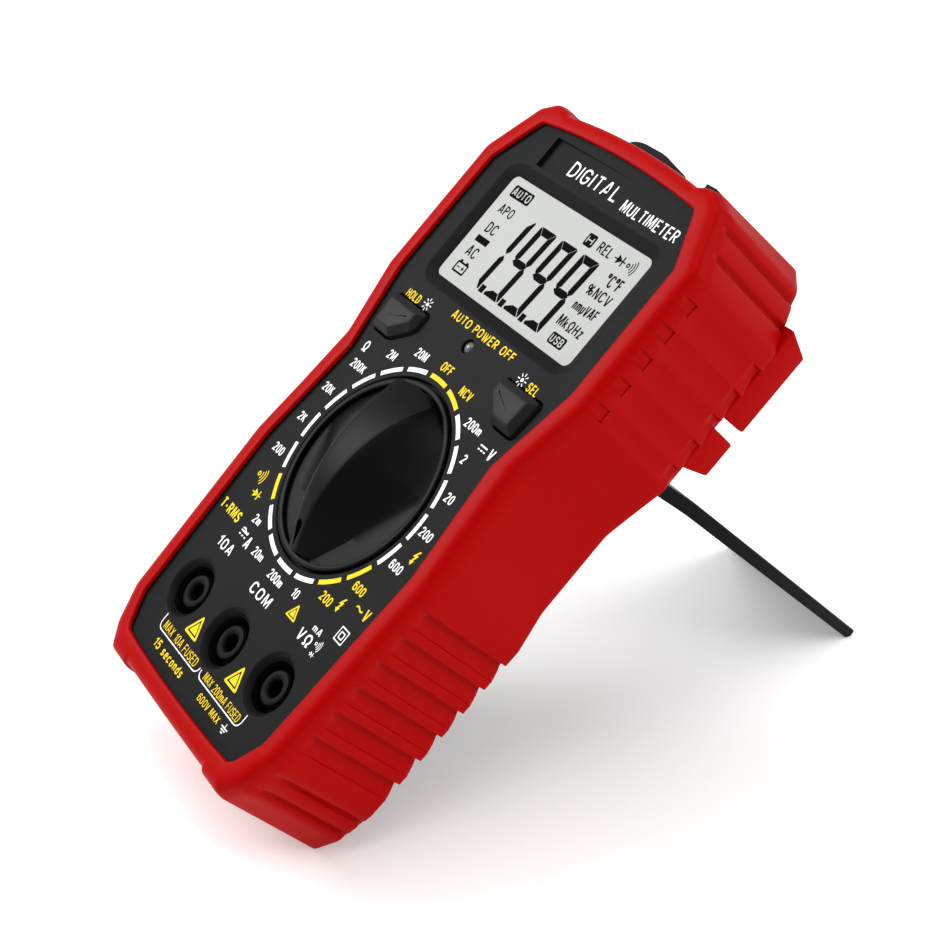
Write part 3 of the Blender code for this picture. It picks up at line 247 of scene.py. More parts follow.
def add_levels(bm, levels):
    """A loft through (outline, z) pairs."""
    add_loft(bm, [[(x, y, z) for x, y in outline] for outline, z in levels])


def add_box(bm, low, high):
    corners = ((low[0], low[1]), (high[0], low[1]), (high[0], high[1]), (low[0], high[1]))
    add_levels(bm, [(corners, low[2]), (corners, high[2])])


def on_axis(axis, centre, radius, angle, along):
    across, up = radius * math.cos(angle), radius * math.sin(angle)
    offsets = {"X": (along, across, up), "Z": (across, up, along)}[axis]
    return tuple(c + o for c, o in zip(centre, offsets))


def add_turned(bm, centre, profile, segments=48, axis="Z", hollow=False):
    """A turned solid. profile lists (radius, distance along the axis); hollow closes it as a ring."""
    angles = [2 * math.pi * i / segments for i in range(segments)]
    rings = [[on_axis(axis, centre, radius, a, along) for a in angles] for radius, along in profile]
    add_loft(bm, rings, wrap=hollow)


def carve(bm, cutter, operation="DIFFERENCE"):
    """The Boolean of two bmeshes, which it frees, as a new bmesh."""
    objects = [link_mesh("working", source) for source in (bm, cutter)]
    modifier = objects[0].modifiers.new("working", "BOOLEAN")
    modifier.operation = operation
    modifier.solver = "EXACT"
    modifier.object = objects[1]
    result = bmesh.new()
    result.from_object(objects[0], bpy.context.evaluated_depsgraph_get())
    for obj in objects:
        bpy.data.objects.remove(obj, do_unlink=True)
    return result


def soften(bm, width):
    """Rounds every edge of a simple solid."""
    bmesh.ops.recalc_face_normals(bm, faces=bm.faces)
    edges = [e for e in bm.edges if e.calc_face_angle(0.0) > math.radians(25)]
    bmesh.ops.bevel(bm, geom=edges, offset=width, segments=3, profile=0.5, affect="EDGES",
                    clamp_overlap=True)


def rounded(points, radius, steps=5):
    """The closed outline with each corner turned into a curve that starts radius before it."""
    curve = []
    for i, point in enumerate(points):
        corner = Vector(point)
        before = Vector(points[i - 1]) - corner
        after = Vector(points[(i + 1) % len(points)]) - corner
        start = corner + before.normalized() * min(radius, 0.48 * before.length)
        end = corner + after.normalized() * min(radius, 0.48 * after.length)
        for step in range(steps + 1):
            t = step / steps
            curve.append(start * (1 - t) ** 2 + corner * (2 * t * (1 - t)) + end * t**2)
    return curve


def bow(centre, radii, start, end, steps=8):
    """Points along an arc of an ellipse, between two angles in degrees."""
    angles = [math.radians(start + (end - start) * i / steps) for i in range(steps + 1)]
    return [(centre[0] + radii[0] * math.cos(a), centre[1] + radii[1] * math.sin(a)) for a in angles]


def arc(centre, radius, start, end, steps=8):
    return bow(centre, (radius, radius), start, end, steps)


def rounded_rectangle(centre, half, radius, steps=8):
    points = []
    for quarter, (sx, sy) in enumerate(((1, 1), (-1, 1), (-1, -1), (1, -1))):
        corner = (centre[0] + sx * (half[0] - radius), centre[1] + sy * (half[1] - radius))
        points += arc(corner, radius, 90 * quarter, 90 * quarter + 90, steps)
    return points


def left_of(direction):
    """The direction in the plane, turned by a quarter turn."""
    return Vector((-direction.y, direction.x))


def offset_polygon(points, distance):
    """The polygon grown by distance along mitred corners; points run clockwise."""
    grown = []
    for i, point in enumerate(points):
        before = Vector(point) - Vector(points[i - 1])
        after = Vector(points[(i + 1) % len(points)]) - Vector(point)
        normals = [left_of(side).normalized() for side in (before, after)]
        miter = (normals[0] + normals[1]).normalized()
        grown.append(tuple(Vector(point) + miter * (distance / miter.dot(normals[0]))))
    return grown


def mirrored(points):
    return [(-x, y) for x, y in reversed(points)]


def mix(a, b, share):
    return tuple(p + (q - p) * share for p, q in zip(a, b))


def fade(value, start, end):
    """0 at start, 1 at end, with a soft beginning and finish."""
    share = min(max((value - start) / (end - start), 0.0), 1.0)
    return share * share * (3 - 2 * share)


# ---------------------------------------------------------------- materials


def make_material(name, colour, roughness, metallic=0.0, mottle=0.08, patch=9.0, grain=0.0,
                  grain_size=0.35, streaks=1.0, **shader_values):
    """A Principled material whose colour and roughness wander in patches, with a moulded grain.

    mottle is the share by which the colour varies over patches of that many millimetres, grain the
    height of the surface texture in millimetres, and streaks above 1 stretches the grain along Y.
    """
    made = bpy.data.materials.new(name)
    made.use_nodes = True
    nodes, links = made.node_tree.nodes, made.node_tree.links
    shader = nodes["Principled BSDF"]
    place = nodes.new("ShaderNodeTexCoord")
    shader.inputs["Metallic"].default_value = metallic
    for key, value in shader_values.items():
        shader.inputs[key.replace("_", " ").title().replace("Ior", "IOR")].default_value = value

    wander = nodes.new("ShaderNodeTexNoise")
    wander.inputs["Scale"].default_value = 1.0 / (patch * MM)
    wander.inputs["Detail"].default_value = 4.0
    links.new(place.outputs["Object"], wander.inputs["Vector"])

    tint = nodes.new("ShaderNodeMix")  # of its sockets, 6 and 7 take colours and output 2 gives one
    tint.data_type = "RGBA"
    tint.inputs[6].default_value = (*[c * (1 - mottle) for c in colour], 1.0)
    tint.inputs[7].default_value = (*[min(1.0, c * (1 + mottle)) for c in colour], 1.0)
    links.new(wander.outputs["Fac"], tint.inputs["Factor"])
    links.new(tint.outputs[2], shader.inputs["Base Color"])

    polish = nodes.new("ShaderNodeMapRange")
    polish.inputs["To Min"].default_value = roughness * 0.88
    polish.inputs["To Max"].default_value = min(1.0, roughness * 1.12)
    links.new(wander.outputs["Fac"], polish.inputs["Value"])
    links.new(polish.outputs["Result"], shader.inputs["Roughness"])

    if grain:
        stretch = nodes.new("ShaderNodeMapping")
        stretch.inputs["Scale"].default_value = (1.0, 1.0 / streaks, 1.0)
        texture = nodes.new("ShaderNodeTexNoise")
        texture.inputs["Scale"].default_value = 1.0 / (grain_size * MM)
        texture.inputs["Detail"].default_value = 3.0
        bump = nodes.new("ShaderNodeBump")
        bump.inputs["Strength"].default_value = 0.6
        bump.inputs["Distance"].default_value = grain * MM
        links.new(place.outputs["Object"], stretch.inputs["Vector"])
        links.new(stretch.outputs["Vector"], texture.inputs["Vector"])
        links.new(texture.outputs["Fac"], bump.inputs["Height"])
        links.new(bump.outputs["Normal"], shader.inputs["Normal"])
    return made


def make_materials():
    return {
        "rubber": make_material("holster_rubber", (0.35, 0.0008, 0.0008), 0.36, mottle=0.04, grain=0.01,
                                grain_size=0.3, specular_ior_level=0.029),
        "face": make_material("face_plastic", (0.0062, 0.0062, 0.0064), 0.5, grain=0.015, grain_size=0.25,
                              specular_ior_level=0.05),
        "knob": make_material("knob_plastic", (0.0012, 0.0012, 0.0012), 0.4, grain=0.004,
                              specular_ior_level=0.072),
        "keys": make_material("key_plastic", (0.0115, 0.0115, 0.0124), 0.45, grain=0.01,
                              specular_ior_level=0.1),
        "stand": make_material("stand_plastic", (0.003, 0.0033, 0.0033), 0.42, grain=0.02,
                               specular_ior_level=0.06),
        "shell": make_material("shell_plastic", (0.012, 0.012, 0.013), 0.5, grain=0.03, grain_size=0.4),
        "lcd": make_material("lcd_panel", (0.43, 0.439, 0.424), 0.5, mottle=0.012, patch=14.0,
                             specular_ior_level=0.1),
        "segment": make_material("lcd_segment", (0.001, 0.001, 0.001), 0.6, mottle=0.05,
                                 specular_ior_level=0.02),
        "white": make_material("print_white", (0.86, 0.86, 0.85), 0.5, mottle=0.03, patch=2.0),
        "yellow": make_material("print_yellow", (0.9, 0.62, 0.001), 0.5, mottle=0.04, patch=2.0,
                                specular_ior_level=0.1),
        # painted shade: near-black for the jack linings, standing in for the shadow in each jack's trench and
        # bore
        "pit": make_material("jack_pit", (0.001, 0.001, 0.001), 0.6, grain=0.01,
                             specular_ior_level=0.05),
        "lens": make_material("led_lens", (0.16, 0.16, 0.15), 0.12, mottle=0.3, patch=0.8,
                              transmission_weight=0.3),
        "steel": make_material("plated_steel", (0.55, 0.55, 0.57), 0.32, 1.0, grain=0.004, streaks=6.0),
        "brass": make_material("turned_brass", (0.72, 0.53, 0.22), 0.28, 1.0, grain=0.004, streaks=6.0),
        "copper": make_material("copper_wire", (0.78, 0.38, 0.22), 0.3, 1.0, grain=0.004),
        "board": make_material("board_resist", (0.02, 0.15, 0.05), 0.35, mottle=0.2, patch=3.0, grain=0.02),
        "ceramic": make_material("fuse_ceramic", (0.82, 0.8, 0.72), 0.5, grain=0.01),
        "glass": make_material("fuse_glass", (0.8, 0.85, 0.85), 0.08, mottle=0.02, transmission_weight=0.8),
        "milky": make_material("milky_plastic", (0.72, 0.72, 0.69), 0.4, grain=0.01),
        "zebra": make_material("contact_rubber", (0.22, 0.2, 0.26), 0.7, mottle=0.3, patch=0.4),
        "jacket": make_material("cell_jacket", (0.03, 0.09, 0.3), 0.35, 0.3, mottle=0.15),
    }


# ---------------------------------------------------------------- the outline of case and holster

# A place on the outline: the three edge points, the way out of the wall, and any grip's depth.
Station = namedtuple("Station", "face shoulder back out depth tail fade",
                     defaults=(0.0, 0.0, (0.0, -1.0)))


def outward(key):
    """Direction in which the wall thickens at this key: straight out at the two ends."""
    direction = Vector(key.shoulder) - Vector(key.face)
    if abs(direction.y) > 2 * abs(direction.x):
        direction.x = 0.0
    return direction.normalized()


def shoulder_length(i):
    return (Vector(KEYS[i + 1].shoulder) - Vector(KEYS[i].shoulder)).length


def corner_reach(i):
    """How far from key i its rounding starts, along the shoulder; none on the centre line."""
    if i in (0, len(KEYS) - 1):
        return 0.0
    return min(CORNER_REACH, 0.42 * min(shoulder_length(i - 1), shoulder_length(i)))


def place_on(i, share, back_share=None):
    """The station that far along segment i. The two middle segments bow instead of meeting in a peak."""
    start, end = KEYS[i], KEYS[i + 1]
    back_share = share if back_share is None else back_share
    rise = {0: share * share, len(KEYS) - 2: 1 - (1 - share) ** 2}.get(i)

    def point(a, b, part):
        x, y = mix(a, b, part)
        if rise is not None:
            y = a[1] + (b[1] - a[1]) * rise
        return Vector((x, y))

    out = outward(start).lerp(outward(end), share).normalized()
    return Station(point(start.face, end.face, share), point(start.shoulder, end.shoulder, share),
                   point(start.back, end.back, back_share), out)


def at_height(i, y):
    """The station on segment i whose shoulder and back edge both lie at this y."""
    start, end = KEYS[i], KEYS[i + 1]
    front = (start.shoulder[1] - y) / (start.shoulder[1] - end.shoulder[1])
    rear = (start.back[1] - y) / (start.back[1] - end.back[1])
    return place_on(i, front, rear)


def blend_stations(a, b, c, t):
    """A quadratic curve from station a to c with its corner at b."""
    parts = ((1 - t) ** 2, 2 * t * (1 - t), t * t)
    made = [sum((getattr(s, field) * w for s, w in zip((a, b, c), parts)), Vector((0.0, 0.0)))
            for field in ("face", "shoulder", "back", "out")]
    return Station(*made[:3], made[3].normalized())


def grip_stations(i, last_y):
    found = []
    for grip in GRIPS:
        if grip.segment != KEYS[i].name:
            continue
        for count in range(grip.count):
            for down, depth, tail in grip.steps:
                y = grip.first_y - grip.pitch * count - down
                if y > last_y:
                    found.append(at_height(i, y)._replace(depth=depth, tail=tail, fade=grip.fade))
    return found


def outline_stations(spacing=1.2, grips=True):
    """Every station round the right half, from the top to the bottom, rounded at the keys."""
    found = [place_on(0, 0.0)]
    for i in range(len(KEYS) - 1):
        length = shoulder_length(i)
        first, last = corner_reach(i) / length, 1 - corner_reach(i + 1) / length
        if i:
            before = place_on(i - 1, 1 - corner_reach(i) / shoulder_length(i - 1))
            corner, after = place_on(i, 0.0), place_on(i, first)
            found += [blend_stations(before, corner, after, step / 6) for step in range(7)]
        between = grip_stations(i, place_on(i, last).shoulder.y + 0.1) if grips else []
        if not between:
            steps = max(1, round(length * (last - first) / spacing))
            between = [place_on(i, first + (last - first) * s / steps) for s in range(1, steps)]
        found += between
    found.append(place_on(len(KEYS) - 2, 1.0))
    return found


def full_ring(half, z):
    """Closes a half outline (x >= 0, first and last on the centre line) with its mirror image."""
    half = [(max(x, 0.0), y) for x, y in half]
    left = [(-x, y) for x, y in reversed(half[1:-1])]
    return [(x, y, z) for x, y in half + left]


def case_point(s, z, inset=0.0):
    """The case's outer surface at this station and depth, moved inwards by inset."""
    front = s.face + s.out * CASE_UNDER_LIP
    rear = s.back - s.out * HOLSTER_SIDE
    return front.lerp(rear, z / CASE_BACK_Z) - s.out * inset


# ---------------------------------------------------------------- holster


def window_point(s, grow):
    """Where the ray from the back opening's middle to this station meets its edge, a superellipse."""
    middle_y = 0.5 * (WINDOW_Y[0] + WINDOW_Y[1])
    half = (WINDOW_HALF + grow, 0.5 * (WINDOW_Y[1] - WINDOW_Y[0]) + grow)
    x, y = s.back.x, s.back.y - middle_y
    power = 14.0
    reach = (abs(x / half[0]) ** power + abs(y / half[1]) ** power) ** (-1 / power)
    return (x * reach, middle_y + y * reach)


def holster_rings(stations):
    """The section swept round the outline: rim, side wall, back, opening and cavity."""

    def ring(z, place):
        return full_ring([place(s) for s in stations], z)

    def outer(share, z, inset=0.0):
        def place(s):
            side = (SHOULDER_Z - z) / (SHOULDER_Z - HEEL_TOP_Z)
            wall = s.shoulder.lerp(s.back, min(max(side, 0.0), 1.0))
            point = s.face.lerp(wall, share) if share < 1 else wall
            return point - s.out * (s.depth * fade(z, *s.fade) + s.tail * fade(z, *TAIL_FADE) + inset)

        return ring(z, place)

    rings = [outer(share, z) for share, z in RIM]
    rings += [outer(1.0, z) for z in SIDE_LEVELS]
    rings += [outer(1.0, -28.0, 0.02), outer(1.0, HEEL_TOP_Z - 0.05, 0.1)]
    rings += [ring(z, lambda s: s.back - s.out * inset)
              for z, inset in ((BACK_Z + 0.1, HEEL_RUN - 0.1), (BACK_Z, HEEL_RUN + 0.2))]
    rings += [ring(z, lambda s: window_point(s, grow))
              for z, grow in ((BACK_Z, 0.5), (BACK_Z + 0.1, 0.15), (BACK_Z + 0.45, 0.0),
                              (BACK_Z + HOLSTER_BACK, 0.0))]
    rings += [ring(z, lambda s: case_point(s, z, -GAP))
              for z in (BACK_Z + HOLSTER_BACK, PARTING_Z, LIP_UNDER_Z - 0.6)]
    rings.append(ring(LIP_UNDER_Z - 0.25, lambda s: s.face + s.out * 0.4))
    return rings


def add_clip(bm, side, lobe):
    """One U-shaped lobe that holds a probe lengthways against the holster's back."""
    low_root, high_root, low_back, high_back = lobe
    outer, inner = CLIP_X[1] * side, CLIP_X[0] * side
    channel_outer, channel_inner = CLIP_CHANNEL_X[1] * side, CLIP_CHANNEL_X[0] * side
    section = ((outer, CLIP_ROOT_Z), (outer, CLIP_BACK_Z), (channel_outer, CLIP_BACK_Z),
               (channel_outer, CLIP_FLOOR_Z), (channel_inner, CLIP_FLOOR_Z),
               (channel_inner, CLIP_BACK_Z), (inner, CLIP_BACK_Z), (inner, CLIP_ROOT_Z))

    def edge(root, back, z):
        return root + (back - root) * (CLIP_ROOT_Z - z) / (CLIP_ROOT_Z - CLIP_BACK_Z)

    bottom = [(x, edge(low_root, low_back, z), z) for x, z in section]
    top = [(x, edge(high_root, high_back, z), z) for x, z in section]
    add_loft(bm, [bottom, top])


def segment_index(name):
    return next(i for i, key in enumerate(KEYS) if key.name == name)


def add_side_cuts(bm):
    """The pockets at the upper grips' front ends and the notches at the lower grips' back ends."""
    cuts = []
    low_z, high_z = POCKET_Z
    for y in POCKET_Y:
        x = at_height(segment_index("upper_side"), y).shoulder.x - POCKET_DEPTH
        foot = y - POCKET_TALL
        cuts.append([(x, y, low_z), (x, y, high_z), (x, foot, high_z), (x, foot, low_z)])
    grip = next(g for g in GRIPS if g.segment == "switch_side")
    length = grip.steps[-1][0]
    for count in range(grip.count):
        y = grip.first_y - grip.pitch * count
        x = at_height(segment_index(grip.segment), y).back.x - NOTCH_DEPTH
        cuts.append([(x, y, BACK_Z - 1), (x, y, NOTCH_Z[0]), (x, y - length, NOTCH_Z[1]),
                     (x, y - length, BACK_Z - 1)])
    reach = KEYS[segment_index("display_foot")].shoulder[0] + 2
    for side in (-1, 1):
        for corners in cuts:
            add_loft(bm, [[(side * x, y, z) for x, y, z in corners],
                          [(side * reach, y, z) for _, y, z in corners]])


def make_holster(look):
    bm = bmesh.new()
    add_loft(bm, holster_rings(outline_stations()), wrap=True)
    lobes = bmesh.new()
    for side in (-1, 1):
        for lobe in CLIP_LOBES:
            add_clip(lobes, side, lobe)
    soften(lobes, 0.55)
    bm = carve(bm, lobes, "UNION")
    slots = bmesh.new()
    room = SLOT_CLEARANCE
    outline = mirrored(offset_polygon(NOSE_OUTLINE, room))
    add_levels(slots, [(outline, NOSE_Z[0] - room), (outline, NOSE_Z[1] + room)])
    add_box(slots, (LUG_X[0] - room, SLOT_Y[0], LUG_Z[0] - room),
            (LUG_X[1] + room, SLOT_Y[1], LUG_Z[1] + room))
    add_side_cuts(slots)
    bm = carve(bm, slots)
    add_piece("holster_rubber", bm, look["rubber"], "meter", ["holster"], sharp=40)


# ---------------------------------------------------------------- front case


def pocket(bm, outline, floor_z, soft):
    """A cutter for a pocket: outline(grow) gives its edge, soft is the radius of its rim."""
    levels = [(outline(0.826 * soft + 1.22), 0.2)]  # above the face, about where the rim's curve leads
    for degrees in (80, 60, 40, 20, 0):
        a = math.radians(degrees)
        levels.append((outline(soft * (1 - math.cos(a))), -soft * (1 - math.sin(a))))
    levels.append((outline(0.0), floor_z))
    add_levels(bm, levels)


def circle(centre, radius, segments=96):
    """Outline function of a round pocket."""
    def outline(grow):
        angles = [-2 * math.pi * i / segments for i in range(segments)]
        return [(centre[0] + (radius + grow) * math.cos(a), centre[1] + (radius + grow) * math.sin(a))
                for a in angles]

    return outline


def button_edge(outline, clearance=0.0):
    """Outline function of a button, or of its opening with some clearance."""
    def edge(grow):
        grown = clearance + grow
        return rounded(offset_polygon(outline, grown), max(0.25, 1.0 + grown))

    return edge


# The plaque at the top of the face: a shallow ramp, deepest at its left end.
PLAQUE_X = (-20.4, 9.0)
PLAQUE_Y = (67.8, 74.8)
PLAQUE_DEPTH = 0.9


def plaque_z(x):
    share = (PLAQUE_X[1] - x) / (PLAQUE_X[1] - PLAQUE_X[0])
    return -PLAQUE_DEPTH * min(max(share, 0.0), 1.0)


def cut_plaque(bm):
    cutter = bmesh.new()
    section = ((PLAQUE_X[0], 0.5), (PLAQUE_X[0], plaque_z(PLAQUE_X[0])), (PLAQUE_X[1], 0.0),
               (PLAQUE_X[1] + 2, 0.5))
    add_loft(cutter, [[(x, y, z) for x, z in section] for y in PLAQUE_Y])
    return carve(bm, cutter)


def cut_display(bm):
    cutter = bmesh.new()
    centre = (0.0, DISPLAY_Y)

    def edge(grow):
        return rounded_rectangle(centre, (LCD_HALF[0] + grow, LCD_HALF[1] + grow), 1.6 + grow)

    slope = BEZEL_HALF[0] - LCD_HALF[0]
    levels = ((0.02, -FACE_PLATE - 1), (0.02, LCD_Z + 0.02), (0.12, LCD_Z + 0.1), (slope - 0.7, -0.2),
              (slope, 0.0), (slope + 1, 0.2))
    add_levels(cutter, [(edge(grow), z) for grow, z in levels])
    return carve(bm, cutter)


def cut_jack(bm, centre):
    """A funnel round a raised collar, which holds the bore."""
    funnel = bmesh.new()
    add_turned(funnel, (*centre, 0), (
        (3.55, -5.0), (3.55, -1.75), (3.45, -1.55), (3.2, -1.45), (2.6, -1.42), (2.3, -1.5),
        (2.0, -1.75), (1.9, -2.2), (1.9, -8.0), (0.4, -8.0), (0.4, 1.0), (7.9, 0.25), (6.6, -0.06),
        (6.15, -0.25), (5.7, -0.8), (5.35, -1.5), (5.2, -2.5), (5.1, -5.0)), 72, hollow=True)
    bm = carve(bm, funnel)
    bore = bmesh.new()
    add_turned(bore, (*centre, 0), ((0.6, -8.0), (0.6, 1.0)), 24)
    return carve(bm, bore)


def make_jack_linings(look):
    """Near-black linings over the trench round each jack's collar and over its bore: painted shade, standing
    in for the shadow deep in those hollows.
    """
    bm = bmesh.new()
    trench = ((3.57, -5.0), (3.57, -1.95), (3.67, -2.0), (3.67, -4.7), (4.85, -4.7), (4.98, -2.5),
              (5.14, -1.5), (5.32, -1.1), (5.5, -1.1), (5.3, -1.5), (5.14, -2.5), (5.05, -5.0))
    bore = ((1.93, -7.9), (1.93, -2.1), (1.83, -2.2), (1.83, -7.6))
    for centre in JACKS:
        add_turned(bm, (*centre, 0), trench, 72, hollow=True)
        add_turned(bm, (*centre, 0), bore, 48)
    add_piece("jack_linings", bm, look["pit"], "meter")


def make_front_case(look):
    stations = outline_stations(3.0, grips=False)
    bm = bmesh.new()

    def ring(z, inset=0.0):
        return full_ring([case_point(s, z, inset) for s in stations], z)

    add_loft(bm, [ring(0.0, 0.5), ring(-0.6), ring(PARTING_Z), ring(PARTING_Z, CASE_WALL),
                  ring(-FACE_PLATE, CASE_WALL)])
    extras = bmesh.new()
    for x, y in JACKS:
        add_turned(extras, (x, y, 0), ((6.3, -8.5), (6.3, -1.2)))
    nose = rounded(mirrored(NOSE_OUTLINE), 1.2)
    add_levels(extras, [(nose, z) for z in NOSE_Z])
    add_box(extras, (LUG_X[0], 77.0, LUG_Z[0]), (LUG_X[1], LUG_TOP_Y, LUG_Z[1]))
    bm = carve(bm, extras, "UNION")
    cutters = bmesh.new()
    through = -FACE_PLATE - 1
    pocket(cutters, circle((0, 0), KNOB_RECESS_RADIUS), -KNOB_RECESS_DEPTH, 0.25)
    for points in (BUTTON_OUTLINE, mirrored(BUTTON_OUTLINE)):
        pocket(cutters, button_edge(points, 0.35), through, 0.2)
    pocket(cutters, circle(LED_XY, 1.5, 32), through, 0.15)
    bm = carve(bm, cutters)
    bm = cut_plaque(cut_display(bm))
    for centre in JACKS:
        bm = cut_jack(bm, centre)
    add_piece("front_cover", bm, look["face"], "meter", ["front_case"], even=True)


# ---------------------------------------------------------------- display and printing


PRINT_THICK = 0.04
STROKE_LIFT = 0.012  # every other stroke stands this much higher, so that crossing ones don't share a plane
LETTER_GAP = 0.14  # share of the height between letters


def bowl(width, low=0.0, high=1.0):
    """A closed narrow loop that ends where it began."""
    half, curl = 0.5 * width, 0.3 * (high - low)
    loop = bow((half, high - curl), (half, curl), 0, 180) + bow((half, low + curl), (half, curl), 180, 360)
    return loop + loop[:1]


def ringlet(x, y, across, tall):
    return bow((x, y), (across, tall), 0, 360, 10)


HUMP = bow((0.13, 0.5), (0.13, 0.18), 180, 0, 6)
UPPER_LOBE = [(0, 0), (0, 1), (0.2, 1)] + bow((0.2, 0.75), (0.2, 0.25), 80, -80, 6) + [(0.2, 0.5), (0, 0.5)]

# Narrow letters one unit tall, as (width, strokes); each stroke lists the points of its middle line.
LETTERS = {
    "0": (0.4, [bowl(0.4)]),
    "1": (0.2, [[(0, 0.74), (0.2, 0.98), (0.2, 0)]]),
    "2": (0.4, [bow((0.2, 0.75), (0.2, 0.25), 170, -35) + [(0, 0), (0.4, 0)]]),
    "5": (0.4, [[(0.38, 1), (0.05, 1), (0.02, 0.54)] + bow((0.2, 0.32), (0.2, 0.32), 118, -155)]),
    "6": (0.4, [bow((0.2, 0.72), (0.2, 0.28), 20, 180, 6) + [(0, 0.3)], bowl(0.4, 0.0, 0.6)]),
    "A": (0.46, [[(0, 0), (0.2, 1), (0.26, 1), (0.46, 0)], [(0.07, 0.28), (0.39, 0.28)]]),
    "B": (0.42, [UPPER_LOBE, [(0, 0.5), (0.2, 0.5)] + bow((0.2, 0.25), (0.22, 0.25), 80, -80, 6) + [(0, 0)]]),
    "C": (0.42, [bow((0.21, 0.7), (0.21, 0.3), 15, 180) + bow((0.21, 0.3), (0.21, 0.3), 180, 345)]),
    "D": (0.42, [[(0.15, 0), (0, 0), (0, 1), (0.15, 1)] + bow((0.15, 0.68), (0.27, 0.32), 80, 0, 5)
                 + bow((0.15, 0.32), (0.27, 0.32), 0, -90, 5)]),
    "E": (0.36, [[(0.36, 1), (0, 1), (0, 0), (0.36, 0)], [(0, 0.52), (0.32, 0.52)]]),
    "F": (0.36, [[(0.36, 1), (0, 1), (0, 0)], [(0, 0.52), (0.32, 0.52)]]),
    "G": (0.42, [bow((0.21, 0.7), (0.21, 0.3), 15, 180) + bow((0.21, 0.3), (0.21, 0.3), 180, 350)
                 + [(0.42, 0.46), (0.22, 0.46)]]),
    "H": (0.4, [[(0, 0), (0, 1)], [(0.4, 0), (0.4, 1)], [(0, 0.52), (0.4, 0.52)]]),
    "I": (0.0, [[(0, 0), (0, 1)]]),
    "K": (0.4, [[(0, 0), (0, 1)], [(0.38, 1), (0.02, 0.4)], [(0.14, 0.6), (0.42, 0)]]),
    "L": (0.32, [[(0, 1), (0, 0), (0.34, 0)]]),
    "M": (0.52, [[(0, 0), (0, 1), (0.06, 1), (0.26, 0.12), (0.46, 1), (0.52, 1), (0.52, 0)]]),
    "N": (0.42, [[(0, 0), (0, 1), (0.06, 1), (0.36, 0), (0.42, 0), (0.42, 1)]]),
    "O": (0.46, [bowl(0.46)]),
    "P": (0.4, [UPPER_LOBE]),
    "R": (0.42, [UPPER_LOBE, [(0.18, 0.5), (0.42, 0)]]),
    "S": (0.4, [bow((0.2, 0.75), (0.19, 0.25), 10, 225) + bow((0.2, 0.26), (0.2, 0.26), 45, -165)]),
    "T": (0.38, [[(0, 1), (0.38, 1)], [(0.19, 1), (0.19, 0)]]),
    "U": (0.42, [[(0, 1)] + bow((0.21, 0.28), (0.21, 0.28), 180, 360) + [(0.42, 1)]]),
    "V": (0.44, [[(0, 1), (0.19, 0), (0.25, 0), (0.44, 1)]]),
    "W": (0.64, [[(0, 1), (0.13, 0), (0.19, 0), (0.32, 0.9), (0.45, 0), (0.51, 0), (0.64, 1)]]),
    "X": (0.42, [[(0, 0), (0.42, 1)], [(0, 1), (0.42, 0)]]),
    "c": (0.3, [bow((0.15, 0.5), (0.15, 0.18), 20, 180, 5) + bow((0.15, 0.18), (0.15, 0.18), 180, 340, 5)]),
    "d": (0.3, [[(0.3, 0), (0.3, 1)], bowl(0.3, 0.0, 0.68)]),
    "e": (0.3, [[(0, 0.36), (0.3, 0.36)] + bow((0.15, 0.48), (0.15, 0.2), 0, 180, 6)
                + bow((0.15, 0.18), (0.15, 0.18), 180, 330, 5)]),
    "k": (0.3, [[(0, 0), (0, 1)], [(0.28, 0.68), (0.02, 0.28)], [(0.1, 0.4), (0.32, 0)]]),
    "m": (0.52, [[(0, 0), (0, 0.7)], HUMP + [(0.26, 0)], [(x + 0.26, y) for x, y in HUMP] + [(0.52, 0)]]),
    "n": (0.28, [[(0, 0), (0, 0.7)], HUMP + [(0.27, 0)]]),
    "o": (0.3, [bowl(0.3, 0.0, 0.68)]),
    "s": (0.28, [bow((0.14, 0.51), (0.13, 0.17), 10, 225, 6) + bow((0.14, 0.17), (0.14, 0.17), 45, -165, 6)]),
    "z": (0.3, [[(0, 0.68), (0.28, 0.68), (0.02, 0), (0.3, 0)]]),
    "µ": (0.3, [[(0, 0.7), (0, -0.25)], bow((0.15, 0.18), (0.15, 0.18), 180, 360, 6) + [(0.3, 0.7)]]),
    "Ω": (0.54, [[(0, 0), (0.16, 0), (0.16, 0.14)] + bow((0.27, 0.58), (0.25, 0.42), 240, -60, 10)
                 + [(0.38, 0.14), (0.38, 0), (0.54, 0)]]),
    "°": (0.26, [ringlet(0.13, 0.86, 0.13, 0.15)]),
    "%": (0.62, [ringlet(0.13, 0.75, 0.13, 0.23), ringlet(0.49, 0.25, 0.13, 0.23), [(0.5, 1), (0.12, 0)]]),
    "-": (0.2, [[(0, 0.42), (0.2, 0.42)]]),
    " ": (0.12, []),
}


def add_patch(bm, outline, z=0.0):
    """A flat printed shape with that outline."""
    add_levels(bm, [(outline, z - PRINT_THICK), (outline, z + PRINT_THICK)])


def add_ring_print(bm, outer, inner, z=0.0):
    """A printed frame between two outlines of equally many points."""
    low, high = z - PRINT_THICK, z + PRINT_THICK
    levels = ((outer, low), (outer, high), (inner, high), (inner, low))
    add_loft(bm, [[(x, y, level) for x, y in outline] for outline, level in levels], wrap=True)


def add_strip(bm, left, right, z):
    """A flat printed band between two rows of points."""
    add_loft(bm, [[(*a, z - PRINT_THICK), (*a, z + PRINT_THICK), (*b, z + PRINT_THICK), (*b, z - PRINT_THICK)]
                  for a, b in zip(left, right)])


